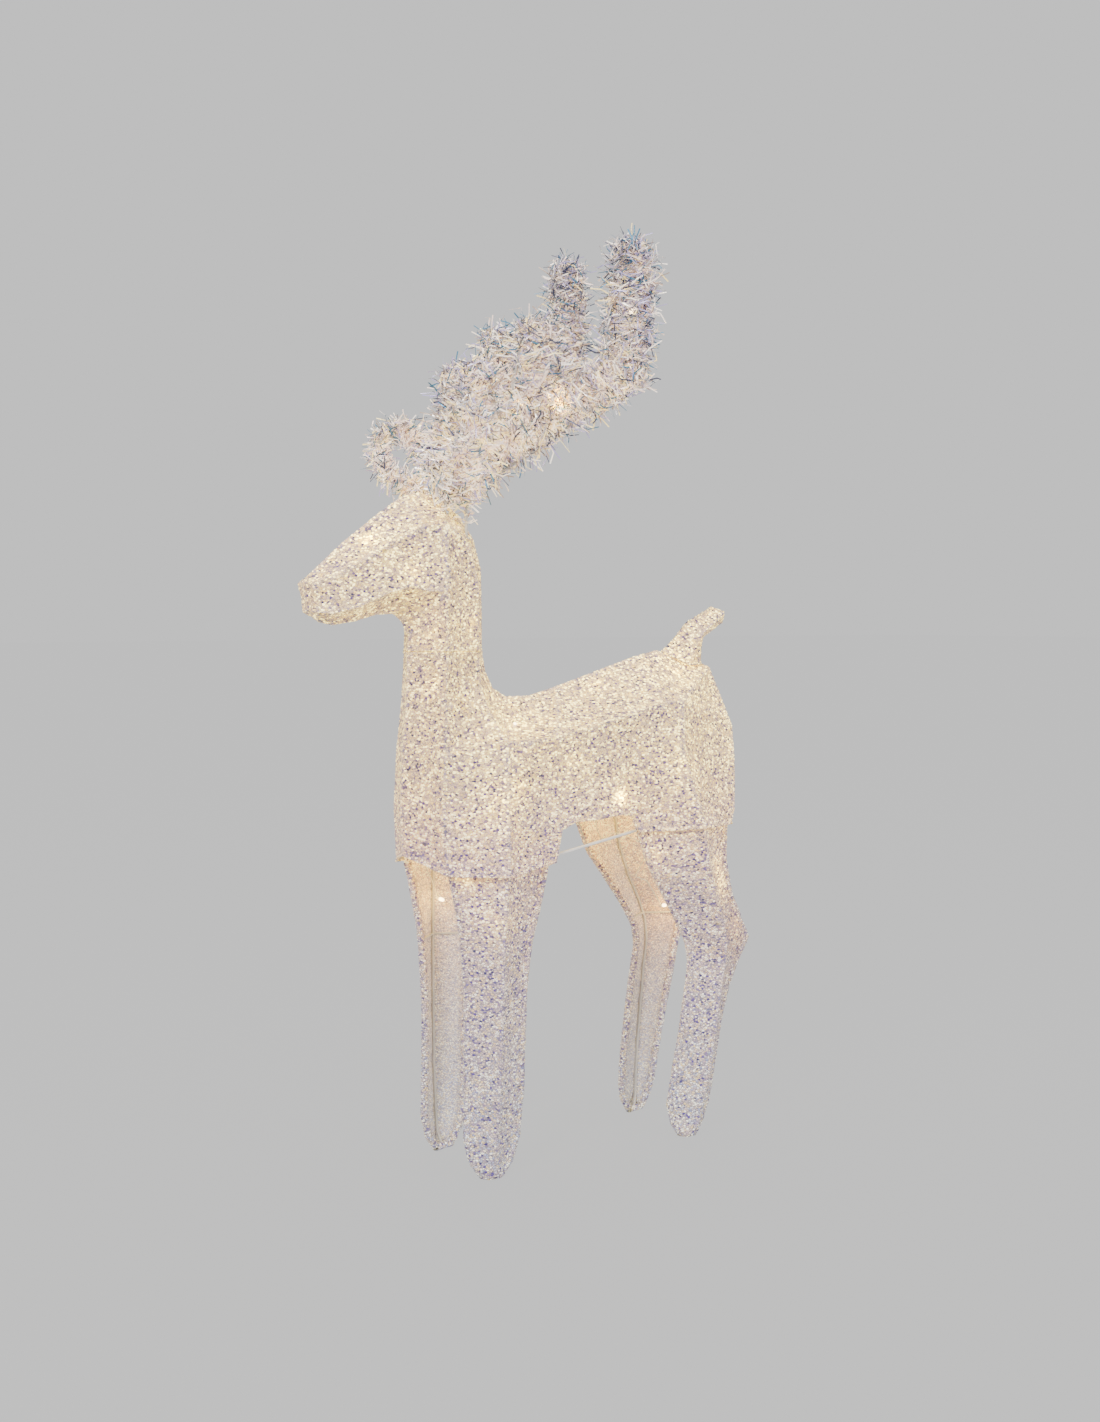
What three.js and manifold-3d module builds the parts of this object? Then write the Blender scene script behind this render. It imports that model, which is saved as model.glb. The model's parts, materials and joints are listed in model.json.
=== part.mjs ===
// Light-up yard reindeer: welded wire sections covered in glitter knit mesh, tinsel antlers, light strings.
// Units mm, +Z up, the deer faces -Y, +X is the deer's left. Each section is knock-down: prongs in sockets.
import * as THREE from 'three';
import { ConvexGeometry } from 'three/addons/geometries/ConvexGeometry.js';
import { mergeVertices } from 'three/addons/utils/BufferGeometryUtils.js';
import Module from 'manifold-3d';

const wasm = await Module();
wasm.setup();

// ---- driving dimensions -------------------------------------------------------------------------
const WIRE_SIDES = 5;           // facets round a hidden wire
const TOTAL_HEIGHT = 1200;      // floor to antler tip
const SKIN_T = 1.2;             // stretched knit skin with its hems
const WIRE_R = 2.2;             // painted frame wire, 4.4 mm
const THIN_R = 1.6;             // cross wires, 3.2 mm
const RAIL_R = 2.0;             // side tie rails, 4 mm
const GAP = 0.5;                // running clearance between separate pieces
const SOCKET_R = 4.4;           // socket tube outer radius
const BORE_R = 2.75;            // socket bore, prong plus clearance
const CABLE_R = 1.0;            // light string cable
const BULB_R = 2.6;             // bulb capsule radius
const BULB_L = 11;              // bulb capsule length
const PRONG = 40;               // prong engagement in its socket
const SEAM_Z = 665;             // neck joint height

const v3 = (x, y, z) => new THREE.Vector3(x, y, z);

// ---- solids helpers -----------------------------------------------------------------------------
function solid(geometry) {
  const g = geometry.clone();
  g.deleteAttribute('normal');
  g.deleteAttribute('uv');
  const m = mergeVertices(g, 1e-4);
  const pos = Float32Array.from(m.attributes.position.array);
  return new wasm.Manifold(new wasm.Mesh({ numProp: 3, vertProperties: pos,
    triVerts: Uint32Array.from(m.index.array) }));
}

function triangles(points, tris) {
  const g = new THREE.BufferGeometry();
  g.setAttribute('position', new THREE.Float32BufferAttribute(points.flatMap((p) => [p.x, p.y, p.z]), 3));
  g.setIndex(tris.flat());
  return g;
}

const join = (list) => list.reduce((a, b) => a.add(b));

const largest = (m) => m.decompose().reduce((a, b) => (b.volume() > a.volume() ? b : a));

// Constant-section tube along a polyline, mitred at each bend.
function sweep(pts, r, sides = WIRE_SIDES) {
  const n = pts.length;
  const dirs = [];
  for (let i = 0; i < n - 1; i++) dirs.push(pts[i + 1].clone().sub(pts[i]).normalize());
  const d0 = dirs[0];
  const ref = Math.abs(d0.z) < 0.8 ? v3(0, 0, 1) : v3(0, 1, 0);
  const u = ref.clone().cross(d0).normalize();
  const w = d0.clone().cross(u);
  let offs = [];
  for (let k = 0; k < sides; k++) {
    const a = (2 * Math.PI * (k + 0.5)) / sides;
    offs.push(u.clone().multiplyScalar(r * Math.cos(a)).add(w.clone().multiplyScalar(r * Math.sin(a))));
  }
  const rings = [];
  const put = (i, din, dout) => {
    const b = din.clone().add(dout).normalize();
    const ring = offs.map((o) => o.clone().addScaledVector(din, -o.dot(b) / din.dot(b)));
    rings.push(ring.map((o) => o.clone().add(pts[i])));
    offs = ring.map((o) => o.clone().addScaledVector(dout, -o.dot(dout)));
  };
  for (let i = 0; i < n; i++) put(i, dirs[Math.max(0, i - 1)], dirs[Math.min(n - 2, i)]);
  return loft(rings);
}

// Closed solid through equal-sided rings, capped at both ends.
function loft(rings) {
  const n = rings.length;
  const sides = rings[0].length;
  const T = [];
  for (let i = 0; i < n - 1; i++) {
    for (let k = 0; k < sides; k++) {
      const a = i * sides + k; const b = i * sides + ((k + 1) % sides);
      T.push([a, b, b + sides], [a, b + sides, a + sides]);
    }
  }
  for (let k = 1; k < sides - 1; k++) {
    T.push([0, k + 1, k]);
    const e = (n - 1) * sides;
    T.push([e, e + k, e + k + 1]);
  }
  return solid(triangles(rings.flat(), T));
}

// A prism between two points (used for tubes, bulbs and cutters).
function rod(a, b, r, sides = 12) {
  return sweep([a, b], r, sides);
}

function tube(a, b, ro, ri, sides = 12) {
  const d = b.clone().sub(a).normalize();
  return rod(a, b, ro, sides).subtract(rod(a.clone().addScaledVector(d, -1),
    b.clone().addScaledVector(d, 1), ri, sides));
}

const hull = (pts) => solid(new ConvexGeometry(pts));

// ---- faceted skins ------------------------------------------------------------------------------
// half: named points with x >= 0. faces: polygons of names. centre(p): a point inside the section.
class Facets {
  constructor(half, faces, centre, mirrored = true) {
    this.p = {};
    for (const [k, c] of Object.entries(half)) {
      this.p[k] = v3(...c);
      if (mirrored && c[0] > 0) this.p[`${k}_r`] = v3(-c[0], c[1], c[2]);
    }
    const other = (k) => (this.p[`${k}_r`] ? `${k}_r` : k);
    this.tris = [];
    for (const f of faces) {
      for (let i = 1; i < f.length - 1; i++) {
        const t = [f[0], f[i], f[i + 1]];
        this.tris.push(this.orient(t, centre));
        if (mirrored) this.tris.push(this.orient(t.map(other), centre));
      }
    }
    this.mitre = this.offsets();
  }

  orient(t, centre) {
    const [a, b, c] = t.map((k) => this.p[k]);
    const n = b.clone().sub(a).cross(c.clone().sub(a));
    const m = a.clone().add(b).add(c).divideScalar(3);
    return n.dot(m.clone().sub(centre(m))) >= 0 ? t : [t[0], t[2], t[1]];
  }

  offsets() {
    const out = {};
    for (const k of Object.keys(this.p)) {
      const A = new THREE.Matrix3().set(1e-2, 0, 0, 0, 1e-2, 0, 0, 0, 1e-2);
      const e = A.elements;
      const rhs = v3(0, 0, 0);
      for (const t of this.tris) {
        if (!t.includes(k)) continue;
        const [a, b, c] = t.map((q) => this.p[q]);
        const n = b.clone().sub(a).cross(c.clone().sub(a)).normalize();
        const i = t.indexOf(k);
        const s = this.p[t[(i + 1) % 3]].clone().sub(this.p[k]);
        const g = this.p[t[(i + 2) % 3]].clone().sub(this.p[k]);
        const w = s.angleTo(g);
        const N = [n.x, n.y, n.z];
        for (let r = 0; r < 3; r++) for (let q = 0; q < 3; q++) e[r + 3 * q] += w * N[r] * N[q];
        rhs.addScaledVector(n, w);
      }
      const m = rhs.clone().applyMatrix3(A.clone().invert());
      if (this.p[k].x === 0 && !k.startsWith('X')) m.x = 0;
      if (m.length() > 1.9) m.setLength(1.9);
      out[k] = m;
    }
    return out;
  }

  inset(k, d) {
    return this.p[k].clone().addScaledVector(this.mitre[k], -d);
  }

  shell(t) {
    const names = Object.keys(this.p).filter((k) => this.tris.some((f) => f.includes(k)));
    const id = Object.fromEntries(names.map((k, i) => [k, i]));
    const n = names.length;
    const P = names.map((k) => this.p[k].clone()).concat(names.map((k) => this.inset(k, t)));
    const T = [];
    const edges = new Map();
    for (const f of this.tris) {
      const [a, b, c] = f.map((k) => id[k]);
      T.push([a, b, c], [a + n, c + n, b + n]);
      for (const [s, e] of [[a, b], [b, c], [c, a]]) edges.set(`${s},${e}`, [s, e]);
    }
    for (const [s, e] of edges.values()) {
      if (!edges.has(`${e},${s}`)) T.push([e, s, s + n], [e, s + n, e + n]);
    }
    return solid(triangles(P, T));
  }
}

const WD = SKIN_T + GAP + WIRE_R;      // wire centre depth below the outer skin
const TD = SKIN_T + GAP + THIN_R;      // the same for a cross wire

// ---- body section -------------------------------------------------------------------------------
const BODY = {
  K0: [0, -82, 665], K1: [0, -84, 600], K2: [0, -90, 540], K3: [0, -93, 470], K4: [0, -90, 411],
  M0: [60, -57, 665], M1: [62, -60, 600], M2: [67, -65, 540], M3: [68, -69, 465], M4: [72, -64, 392],
  H1: [37, -79, 403],
  B0: [30, 4, 665], B1: [37, 3, 622], B2: [52, 7, 590],
  S0: [0, 25, 665], S1: [0, 30, 640], S2: [0, 41, 618], S3: [0, 60, 607], S4: [0, 95, 607], S5: [0, 140,
    619],
  S6: [0, 200, 637], S7: [0, 263, 656], S8: [0, 300, 664], S9: [0, 379, 645],
  P0: [85, 13, 555], P1: [89, 47, 555], P2: [91, 84, 559], P3: [92, 140, 571], P4: [92, 200, 586],
  P5: [92, 245, 597], P6: [91, 281, 599],
  G1: [98, 8, 480], G2: [110, 4, 389], R1: [85, 84, 399],
  E1: [86, 92, 440], E2: [88, 112, 450], E3: [90, 150, 451], E4: [90, 184, 455], E5: [85, 203,
    450], F2: [82, 214, 428],
  TM: [97, 235, 500], Q1: [99, 277, 530], Q2: [105, 285, 496], Q3: [110, 293, 460], G3: [116.5, 303, 431],
  R2: [14, 382, 640], R3: [29, 391, 600], R4: [52, 393, 560], R5: [64, 388, 520], R6: [71, 384, 480],
  R7: [79, 377, 447], R8: [83, 369, 429],
  C1: [0, 400, 600], C2: [0, 409, 550], C3: [0, 405, 505], C4: [0, 398, 470],
};
const BODY_FACES = [
  ['K0', 'M0', 'M1', 'K1'], ['K1', 'M1', 'M2', 'K2'], ['K2', 'M2', 'M3', 'K3'], ['K3', 'M3', 'M4', 'H1',
    'K4'],
  ['M0', 'B0', 'B1', 'M1'], ['M1', 'B1', 'B2'], ['M1', 'B2', 'M2'], ['M2', 'B2', 'P0'], ['M2', 'P0', 'G1',
    'M3'],
  ['M3', 'G1', 'G2', 'M4'], ['S0', 'S1', 'B1', 'B0'], ['S1', 'S2', 'B2', 'B1'], ['S2', 'S3', 'P0', 'B2'],
  ['S3', 'S4', 'P1', 'P0'], ['S4', 'P2', 'P1'], ['S4', 'S5', 'P2'], ['S5', 'P3', 'P2'], ['S5', 'S6', 'P3'],
  ['S6', 'P4', 'P3'], ['S6', 'S7', 'P4'], ['S7', 'P5', 'P4'], ['S7', 'S8', 'P5'], ['S8', 'P6', 'P5'],
  ['S8', 'R2', 'P6'], ['S8', 'S9', 'R2'], ['P6', 'R2', 'R3'], ['P6', 'R3', 'R4', 'Q1'], ['Q1', 'R4', 'R5',
    'Q2'],
  ['Q2', 'R5', 'R6', 'Q3'], ['Q3', 'R6', 'R7', 'G3'], ['G3', 'R7', 'R8'],
  ['P4', 'P5', 'TM'], ['P5', 'P6', 'Q1'], ['P5', 'Q1', 'TM'], ['TM', 'Q1', 'Q2'], ['TM', 'Q2', 'Q3'],
  ['TM', 'Q3', 'G3'], ['TM', 'G3', 'F2'], ['TM', 'F2', 'E5'], ['P4', 'TM', 'E5'], ['P4', 'E5', 'E4'],
  ['P0', 'P1', 'G1'], ['P1', 'E1', 'G1'], ['G1', 'E1', 'R1'], ['G1', 'R1', 'G2'], ['P1', 'P2', 'E2', 'E1'],
  ['P2', 'P3', 'E3', 'E2'], ['P3', 'P4', 'E4', 'E3'],
  ['S9', 'C1', 'R2'], ['R2', 'C1', 'R3'], ['R3', 'C1', 'C2', 'R4'], ['R4', 'C2', 'C3', 'R5'], ['R5', 'C3',
    'C4', 'R6'],
  ['R6', 'C4', 'R7'], ['R7', 'C4', 'R8'],
];
const bodyCentre = (m) => (m.z > 600 && m.y < 60 ? v3(0, -25, m.z) : v3(0,
  Math.min(330, Math.max(-10, m.y)), 500));
const body = new Facets(BODY, BODY_FACES, bodyCentre);

const both = (names) => names.map((k) => (BODY[k] && BODY[k][0] > 0 ? `${k}_r` : k));
const HEM = ['K4', 'H1', 'M4', 'G2', 'R1', 'E1', 'E2', 'E3', 'E4', 'E5', 'F2', 'G3', 'R8', 'C4'];
const SEAM_RING = 5;            // ring wires stand this far back from the neck seam
const edgeShift = (k) => (HEM.includes(k) ? 3 : ['K0', 'M0', 'B0', 'S0'].includes(k) ? -SEAM_RING : 0);
const bodyPoint = (k, d = WD) => body.inset(k, d + (k.startsWith('G3') ? 1.8 : 0)).add(v3(0, 0,
  edgeShift(k.replace('_r', ''))));
const bodyPath = (names, d = WD) => names.map((k) => bodyPoint(k, d));

// prong and socket positions of the knock-down joints (left side; x mirrored)
const NECK_PRONGS = [[42, -40], [-42, -40], [0, 8]];
const TAIL_PRONG = [8, 344];
const FRONT_PRONGS = [[58, -47], [70, 66]];
const HIND_PRONGS = [[72, 226], [64, 350]];
const FRONT_SOCKET_Z = 428;
const HIND_SOCKET_Z = 458;
const ANTLER_PRONGS = [[20.12, -38], [26.23, -12]];
const ANTLER_SOCKET_Z = [800, 768];
const TAIL_SOCKET_Z = 612;

function frameBody() {
  const w = [];
  const add = (names, d, r = WIRE_R) => w.push(sweep(bodyPath(names, d), r));
  add(['K0', 'K1', 'K2', 'K3', 'K4'], WD);
  add(['S0', 'S1', 'S2', 'S3', 'S4', 'S5', 'S6', 'S7', 'S8', 'S9', 'C1', 'C2', 'C3', 'C4'], WD);
  for (const f of [(n) => n, both]) {
    add(f(['M0', 'M1', 'M2', 'M3', 'M4']), WD);
    add(f(['B0', 'B1', 'B2', 'P0']), WD);
    add(f(['G2', 'G1', 'P0', 'P1', 'P2', 'P3', 'P4', 'P5', 'P6', 'Q1', 'Q2', 'Q3', 'G3']), WD);
    add(f(HEM), TD, THIN_R);
    add(f(['P6', 'R2']), WD);
    add(f(['S9', 'R2', 'R3', 'R4', 'R5', 'R6', 'R7', 'R8']), WD);
    add(f(['K0', 'M0', 'B0', 'S0']), WD);
    add(f(['S5', 'P2']), TD, THIN_R);
  }
  // cross ties that hold the left and right halves apart
  const gl = body.inset('G1', WD); const gr = body.inset('G1_r', WD);
  w.push(sweep([gl, gr], THIN_R));
  w.push(sweep([body.inset('Q2', WD), body.inset('Q2_r', WD)], THIN_R));
  for (const s of [1, -1]) for (const b of socketStays(s)) w.push(b);
  return join(w);
}

// short stays from the frame to the socket tubes, stopping a weld gap short of the tube wall
function stay(from, cx, cy, z) {
  const to = v3(cx, cy, z);
  const d = to.clone().sub(from);
  const L = Math.hypot(d.x, d.y);
  const k = (L - SOCKET_R - 0.9) / L;
  return sweep([from, from.clone().addScaledVector(d, k)], THIN_R);
}

function onWire(a, b, z) {
  const t = (z - a.z) / (b.z - a.z);
  return a.clone().lerp(b, t);
}

function socketStays(s) {
  const sfx = s > 0 ? '' : '_r';
  const q = (k) => bodyPoint(`${k}${sfx}`);
  const zf = FRONT_SOCKET_Z + 30; const zh = HIND_SOCKET_Z + 30;
  const out = [];
  const m = onWire(q('M4'), q('M3'), zf - 12);
  out.push(stay(m, s * FRONT_PRONGS[0][0], FRONT_PRONGS[0][1], m.z));
  const e = q('E1').setZ(444);
  out.push(stay(e, s * FRONT_PRONGS[1][0], FRONT_PRONGS[1][1], e.z));
  const f = q('E5');
  out.push(stay(f, s * HIND_PRONGS[0][0], HIND_PRONGS[0][1], HIND_SOCKET_Z + 14));
  const r = onWire(q('R7'), q('R6'), zh - 14);
  out.push(stay(r, s * HIND_PRONGS[1][0], HIND_PRONGS[1][1], r.z));
  const n = onWire(q('M1'), q('M0'), 636);
  out.push(stay(n, s * NECK_PRONGS[0][0], NECK_PRONGS[0][1], n.z));
  if (s > 0) {
    const k = onWire(bodyPoint('S1'), bodyPoint('S0'), 650);
    out.push(stay(k, 0, NECK_PRONGS[2][1], k.z));
  }
  return out;
}

function socket(x, y, z0, z1 = z0 + PRONG) {
  return tube(v3(x, y, z0), v3(x, y, z1), SOCKET_R, BORE_R, 8);
}

function skinBody() {
  let s = body.shell(SKIN_T);
  for (const x of [TAIL_PRONG[0], -TAIL_PRONG[0]]) {
    s = s.subtract(rod(v3(x, TAIL_PRONG[1], 640), v3(x, TAIL_PRONG[1], 680), SOCKET_R + 0.8, 12));
  }
  return s;
}

function sideRail(s) {
  const sfx = s > 0 ? '' : '_r';
  const a = body.inset(`R1${sfx}`, WD); const b = body.inset(`F2${sfx}`, WD);
  const lift = v3(-s * 5.2, 0, 0);
  const p = a.clone().add(lift); const q = b.clone().add(lift);
  p.y -= 1; p.z += 6; q.y += 2;
  return sweep([p, q], RAIL_R, 8);
}

// ---- light strings ------------------------------------------------------------------------------
// A cable through the points; a bulb capsule stands at every point flagged with a direction.
function lightString(path, bulbs) {
  const pts = path.map((p) => v3(...p));
  const parts = [sweep(pts, CABLE_R, 5)];
  for (const [i, d] of bulbs) {
    const a = pts[i];
    const n = v3(...d).normalize();
    parts.push(hull(bulbPoints(a, n)));
  }
  return join(parts);
}

function bulbPoints(c, n, grow = 0) {
  const u = Math.abs(n.z) < 0.9 ? v3(0, 0, 1).cross(n).normalize() : v3(0, 1, 0).cross(n).normalize();
  const w = n.clone().cross(u);
  const out = [];
  const rings = [[BULB_R + grow, -1.5 - grow], [BULB_R + grow, BULB_L - 4 + grow / 2],
    [BULB_R * 0.55 + grow, BULB_L - 1.5 + grow]];
  for (const [r, h] of rings) {
    for (let k = 0; k < 6; k++) {
      const a = (2 * Math.PI * (k + 0.5)) / 6;
      out.push(c.clone().addScaledVector(u, r * Math.cos(a)).addScaledVector(w,
        r * Math.sin(a)).addScaledVector(n, h));
    }
  }
  return out;
}

const BODY_STRING = [
  [20, -30, 642], [32, -58, 628], [42, -44, 590], [56, -20, 564], [60, 20, 560], [46, 46, 566], [20, 90,
    585],
  [10, 150, 595], [16, 184, 606], [36, 240, 600], [20, 286, 626], [26, 306, 622], [50, 292, 570], [76,
    268, 516],
  [58, 236, 512], [78, 184, 478], [60, 150, 520], [78, 108, 522], [60, 60, 520], [76, 26, 500], [62, 8,
    500],
  [82, 0, 478], [56, -20, 462], [0, -60, 480], [-56, -20, 470], [-80, 2, 486], [-66, 60, 520], [-76, 110,
    522],
  [-60, 160, 540], [-76, 200, 500], [-76, 262, 515], [-40, 320, 540], [-6, 372, 560], [10, 332, 508],
];
const BODY_BULBS = [
  [1, [0, 0, -1]], [5, [0.2, 0, 1]], [8, [0, 0.3, 1]], [11, [0, 1, 0.2]], [13, [0.2, 0, -1]], [15,
    [0.1, 0.4, -1]],
  [17, [0, 0.4, -1]], [19, [0.1, 0, -1]], [21, [0.1, 0, -1]], [23, [0, -1, 0]], [25, [0, 0, -1]], [27,
    [0, 0, -1]],
  [29, [0, 0, -1]], [30, [0, 0, -1]], [32, [0, 0.2, -1]],
];
const HEAD_STRING = [
  [10, -40, 684], [18, -12, 700], [24, -40, 712], [34, -58, 696], [30, -60, 730], [34, -92, 764], [14,
    -116, 776],
  [12, -136, 798], [0, -170, 752], [-14, -150, 760], [-32, -96, 764], [-30, -50, 770], [-18, -14,
    740], [-4, -26, 800],
];
const HEAD_BULBS = [
  [1, [0, 0, -1]], [3, [0, 0, -1]], [5, [0, 0.3, -1]], [7, [0, 0.6, -0.5]], [8, [0, 0.3, -1]], [10,
    [0, 0.3, -1]],
  [12, [0, 0, -1]], [13, [0, 0, 1]],
];
const FRONT_STRING = [
  [70, 24, 450], [76, 20, 428], [80, 0, 412], [70, -26, 408], [68, -33, 402], [78, -8, 360], [78, 0, 336],
];
const FRONT_BULBS = [[4, [0.1, 0.3, 1]], [6, [-0.6, 0.4, -0.2]]];
const HIND_STRING = [
  [74, 250, 456], [72, 250, 414], [76, 262, 396], [82, 284, 402], [84, 305, 398], [79, 330, 386], [80,
    338, 362],
  [84, 326, 336], [82, 344, 328], [80, 360, 304], [78, 368, 290],
];
const HIND_BULBS = [[0, [0, 0.1, 1]], [10, [-1, 0.1, 0.2]]];

// ---- head section -------------------------------------------------------------------------------
const HEAD = {
  k0: [0, -82, 667.5], k1: [0, -81, 686], k2: [0, -91, 705], k3: [0, -102, 714], k4: [0, -124, 713],
  k5: [0, -153, 705], k6: [0, -184, 700], k7: [0, -202, 704], n1: [0, -216, 717], n0: [0, -222, 752],
  m0: [60, -57, 667.5], m1: [58, -56, 742], b0: [30, 4, 667.5], b1: [32, 3, 748], b2: [39, -12,
    798], b3: [47, -36, 816],
  s0: [0, 25, 667.5],
  t0: [0, -210, 765], t1: [0, -171, 800], t2: [0, -117, 841], t3: [0, -90, 859], t4: [0, -65,
    866], t5: [0, -35, 858],
  t6: [0, -8, 838], t7: [0, 13, 809], t8: [0, 24, 770], t9: [0, 25, 715],
  u0: [22, -219, 751], u1: [31, -193, 759], u2: [40, -151, 783], u3: [45, -115, 804], u4: [49, -84, 821],
  u5: [50, -50, 824],
  l0: [22, -213, 716], l1: [30, -198, 714], l2: [36, -164, 722], l3: [43, -134, 737], l4: [47, -99, 748],
  l5: [50, -78, 742],
};
const HEAD_FACES = [
  ['n0', 'u0', 'l0', 'n1'], ['t0', 'u0', 'n0'], ['t0', 't1', 'u1'], ['t0', 'u1', 'u0'], ['t1', 'u2', 'u1'],
  ['t1', 't2', 'u2'], ['t2', 'u3', 'u2'], ['t2', 't3', 'u3'], ['t3', 'u4', 'u3'], ['t3', 't4',
    'u4'], ['t4', 'u5', 'u4'],
  ['t4', 't5', 'u5'], ['t5', 'b3', 'u5'], ['t5', 't6', 'b3'], ['t6', 'b2', 'b3'], ['t6', 't7',
    'b2'], ['t7', 'b1', 'b2'],
  ['t7', 't8', 'b1'], ['t8', 't9', 'b1'], ['t9', 'b0', 'b1'], ['t9', 's0', 'b0'],
  ['u0', 'u1', 'l1', 'l0'], ['u1', 'u2', 'l2', 'l1'], ['u2', 'u3', 'l3', 'l2'], ['u3', 'u4', 'l4', 'l3'],
  ['u4', 'u5', 'l5', 'l4'], ['u5', 'm1', 'l5'], ['u5', 'b3', 'm1'], ['b3', 'b2', 'm1'], ['b2', 'b1', 'm1'],
  ['b1', 'b0', 'm0', 'm1'],
  ['n1', 'l0', 'k7'], ['l0', 'l1', 'k7'], ['l1', 'k6', 'k7'], ['l1', 'l2', 'k6'], ['l2', 'k5',
    'k6'], ['l2', 'l3', 'k5'],
  ['l3', 'k4', 'k5'], ['l3', 'l4', 'k4'], ['l4', 'k3', 'k4'], ['l4', 'l5', 'k3'], ['l5', 'k2',
    'k3'], ['l5', 'm1', 'k2'],
  ['m1', 'k1', 'k2'], ['m1', 'm0', 'k0', 'k1'],
];
const headCentre = (m) => (m.z < 740 && m.y > -100 ? v3(0, -28, m.z)
  : m.y < -100 ? v3(0, m.y + 3, 735 + 0.42 * (m.y + 215)) : v3(0, -45, 770));
const head = new Facets(HEAD, HEAD_FACES, headCentre);
const headSide = (n) => n.map((k) => (HEAD[k][0] > 0 ? `${k}_r` : k));
const DEEPER = { m1: 1.6, b1: 1.2, b2: 0.9, b3: 1.2, u5: 1.4, l5: 1.2 };
const headPoint = (k, d = WD) => {
  const base = k.replace('_r', '');
  return head.inset(k, d + (DEEPER[base] || 0)).add(v3(0, 0, ['k0', 'm0', 'b0',
    's0'].includes(base) ? SEAM_RING : 0));
};
const headPath = (n, d = WD) => n.map((k) => headPoint(k, d));

function frameHead() {
  const w = [];
  const add = (n, d = WD, r = WIRE_R) => w.push(sweep(headPath(n, d), r));
  add(['t0', 't1', 't2', 't3', 't4', 't5', 't6', 't7', 't8', 't9', 's0']);
  add(['k0', 'k1', 'k2', 'k3', 'k4', 'k5', 'k6', 'k7', 'n1', 'n0', 't0']);
  for (const f of [(n) => n, headSide]) {
    add(f(['n0', 'u0', 'u1', 'u2', 'u3', 'u4', 'u5', 'm1', 'm0']));
    add(f(['n1', 'l0', 'l1', 'l2', 'l3', 'l4', 'l5', 'm1']));
    add(f(['u5', 'b3', 'b2', 'b1', 'b0']));
    add(f(['k0', 'm0', 'b0', 's0']));
    add(f(['t3', 'u4']), TD, THIN_R);
  }
  // cross bars that carry the prongs down into the neck sockets
  for (const [x, y] of NECK_PRONGS) {
    const ring = headPoint(x === 0 ? 's0' : x > 0 ? 'm0' : 'm0_r');
    w.push(sweep([ring, v3(x, y, ring.z),
      v3(x, y, SEAM_Z - 49)].map((p, i) => (i === 1 ? p.setZ(ring.z + 0.01) : p)), WIRE_R, 8));
  }
  for (const s of [1, -1]) {
    ANTLER_PRONGS.forEach(([x, y], i) => {
      const near = headPoint(`${i ? 'b2' : 'u5'}${s > 0 ? '' : '_r'}`);
      const z = ANTLER_SOCKET_Z[i] + (i ? 26 : 20);
      w.push(stay(near, s * x, y, z));
    });
  }
  return join(w);
}

function skinHead() {
  let s = head.shell(SKIN_T);
  for (const m of [1, -1]) {
    ANTLER_PRONGS.forEach(([x, y], i) => {
      const z = ANTLER_SOCKET_Z[i];
      s = s.subtract(rod(v3(m * x, y, z + 10), v3(m * x, y, z + 80), SOCKET_R + 0.8, 12));
    });
  }
  return s;
}

// ---- tail ---------------------------------------------------------------------------------------
const TAIL = {
  a0: [0, 310, 663.4], a1: [22, 342, 643], a3: [14, 366, 645], a2: [0, 378, 647.2],
  c0: [0, 350, 705], c1: [17, 370, 688], c2: [0, 384, 680],
  d0: [0, 394, 727], d1: [13, 409, 714], d2: [0, 418, 700], e: [0, 421, 719],
};
const TAIL_FACES = [
  ['a0', 'a1', 'c1', 'c0'], ['a1', 'a3', 'c1'], ['a3', 'a2', 'c2', 'c1'], ['c0', 'c1', 'd1', 'd0'], ['c1',
    'c2', 'd2', 'd1'],
  ['d0', 'd1', 'e'], ['d1', 'd2', 'e'],
];
const tail = new Facets(TAIL, TAIL_FACES, (m) => v3(0, 345 + (m.z - 665) * 1.2, m.z - 4));

function frameTail() {
  const [x, y] = TAIL_PRONG;
  const side = (s) => [v3(s * x, y, TAIL_SOCKET_Z - 4), v3(s * x, y, 666),
    tail.inset(s > 0 ? 'c1' : 'c1_r', WD + 1),
    tail.inset(s > 0 ? 'd1' : 'd1_r', WD + 1)];
  const a = side(1); const b = side(-1);
  const w = [sweep(a, WIRE_R), sweep(b, WIRE_R), sweep([a[3], b[3]], WIRE_R)];
  w.push(sweep([v3(-x, y, 664), v3(x, y, 664)], THIN_R));
  return join(w);
}

// ---- legs ---------------------------------------------------------------------------------------
// rows of [z, front edge, outer ridge, rear edge]; the shell is open on the inner side
const FRONT_LEG = [
  [432, [62, -56], [97, 5], [76, 78]], [388, [62, -56], [102.5, 4], [78, 76]], [345, [62, -47], [101, 3],
    [78, 66]],
  [300, [61.5, -39], [99, 1], [77.5, 53.5]], [245, [61, -35], [98, 0], [77, 46]], [180, [60, -33],
    [96, -1], [76.5, 43.5]],
  [110, [60, -34], [93, -2], [76, 41.5]], [50, [60.5, -35], [86, -3], [73, 37]], [22, [62, -28], [81, -3],
    [72, 29]],
];
const FRONT_SOLE = [[64, -14], [77, -10], [77.5, 6], [70, 14]];
const HIND_LEG = [
  [460, [77, 215], [101, 297], [73, 363]], [426, [77, 218], [109, 304], [77, 365]], [380, [75, 236],
    [109, 312], [77, 364]],
  [335, [69, 266], [106, 326], [77.5, 373]], [298, [67, 291], [103, 342], [78, 389]], [268, [67, 309],
    [99, 350], [77, 404]],
  [240, [69, 314], [95, 350], [72, 393]], [200, [69.5, 306], [94, 344], [66, 379]], [150, [68, 297.5],
    [92, 338], [65, 366]],
  [95, [64.5, 288], [89, 331], [67, 355]], [45, [60.5, 281], [82, 323], [67, 345]], [20, [62, 286],
    [78, 320], [66, 336]],
];
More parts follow.
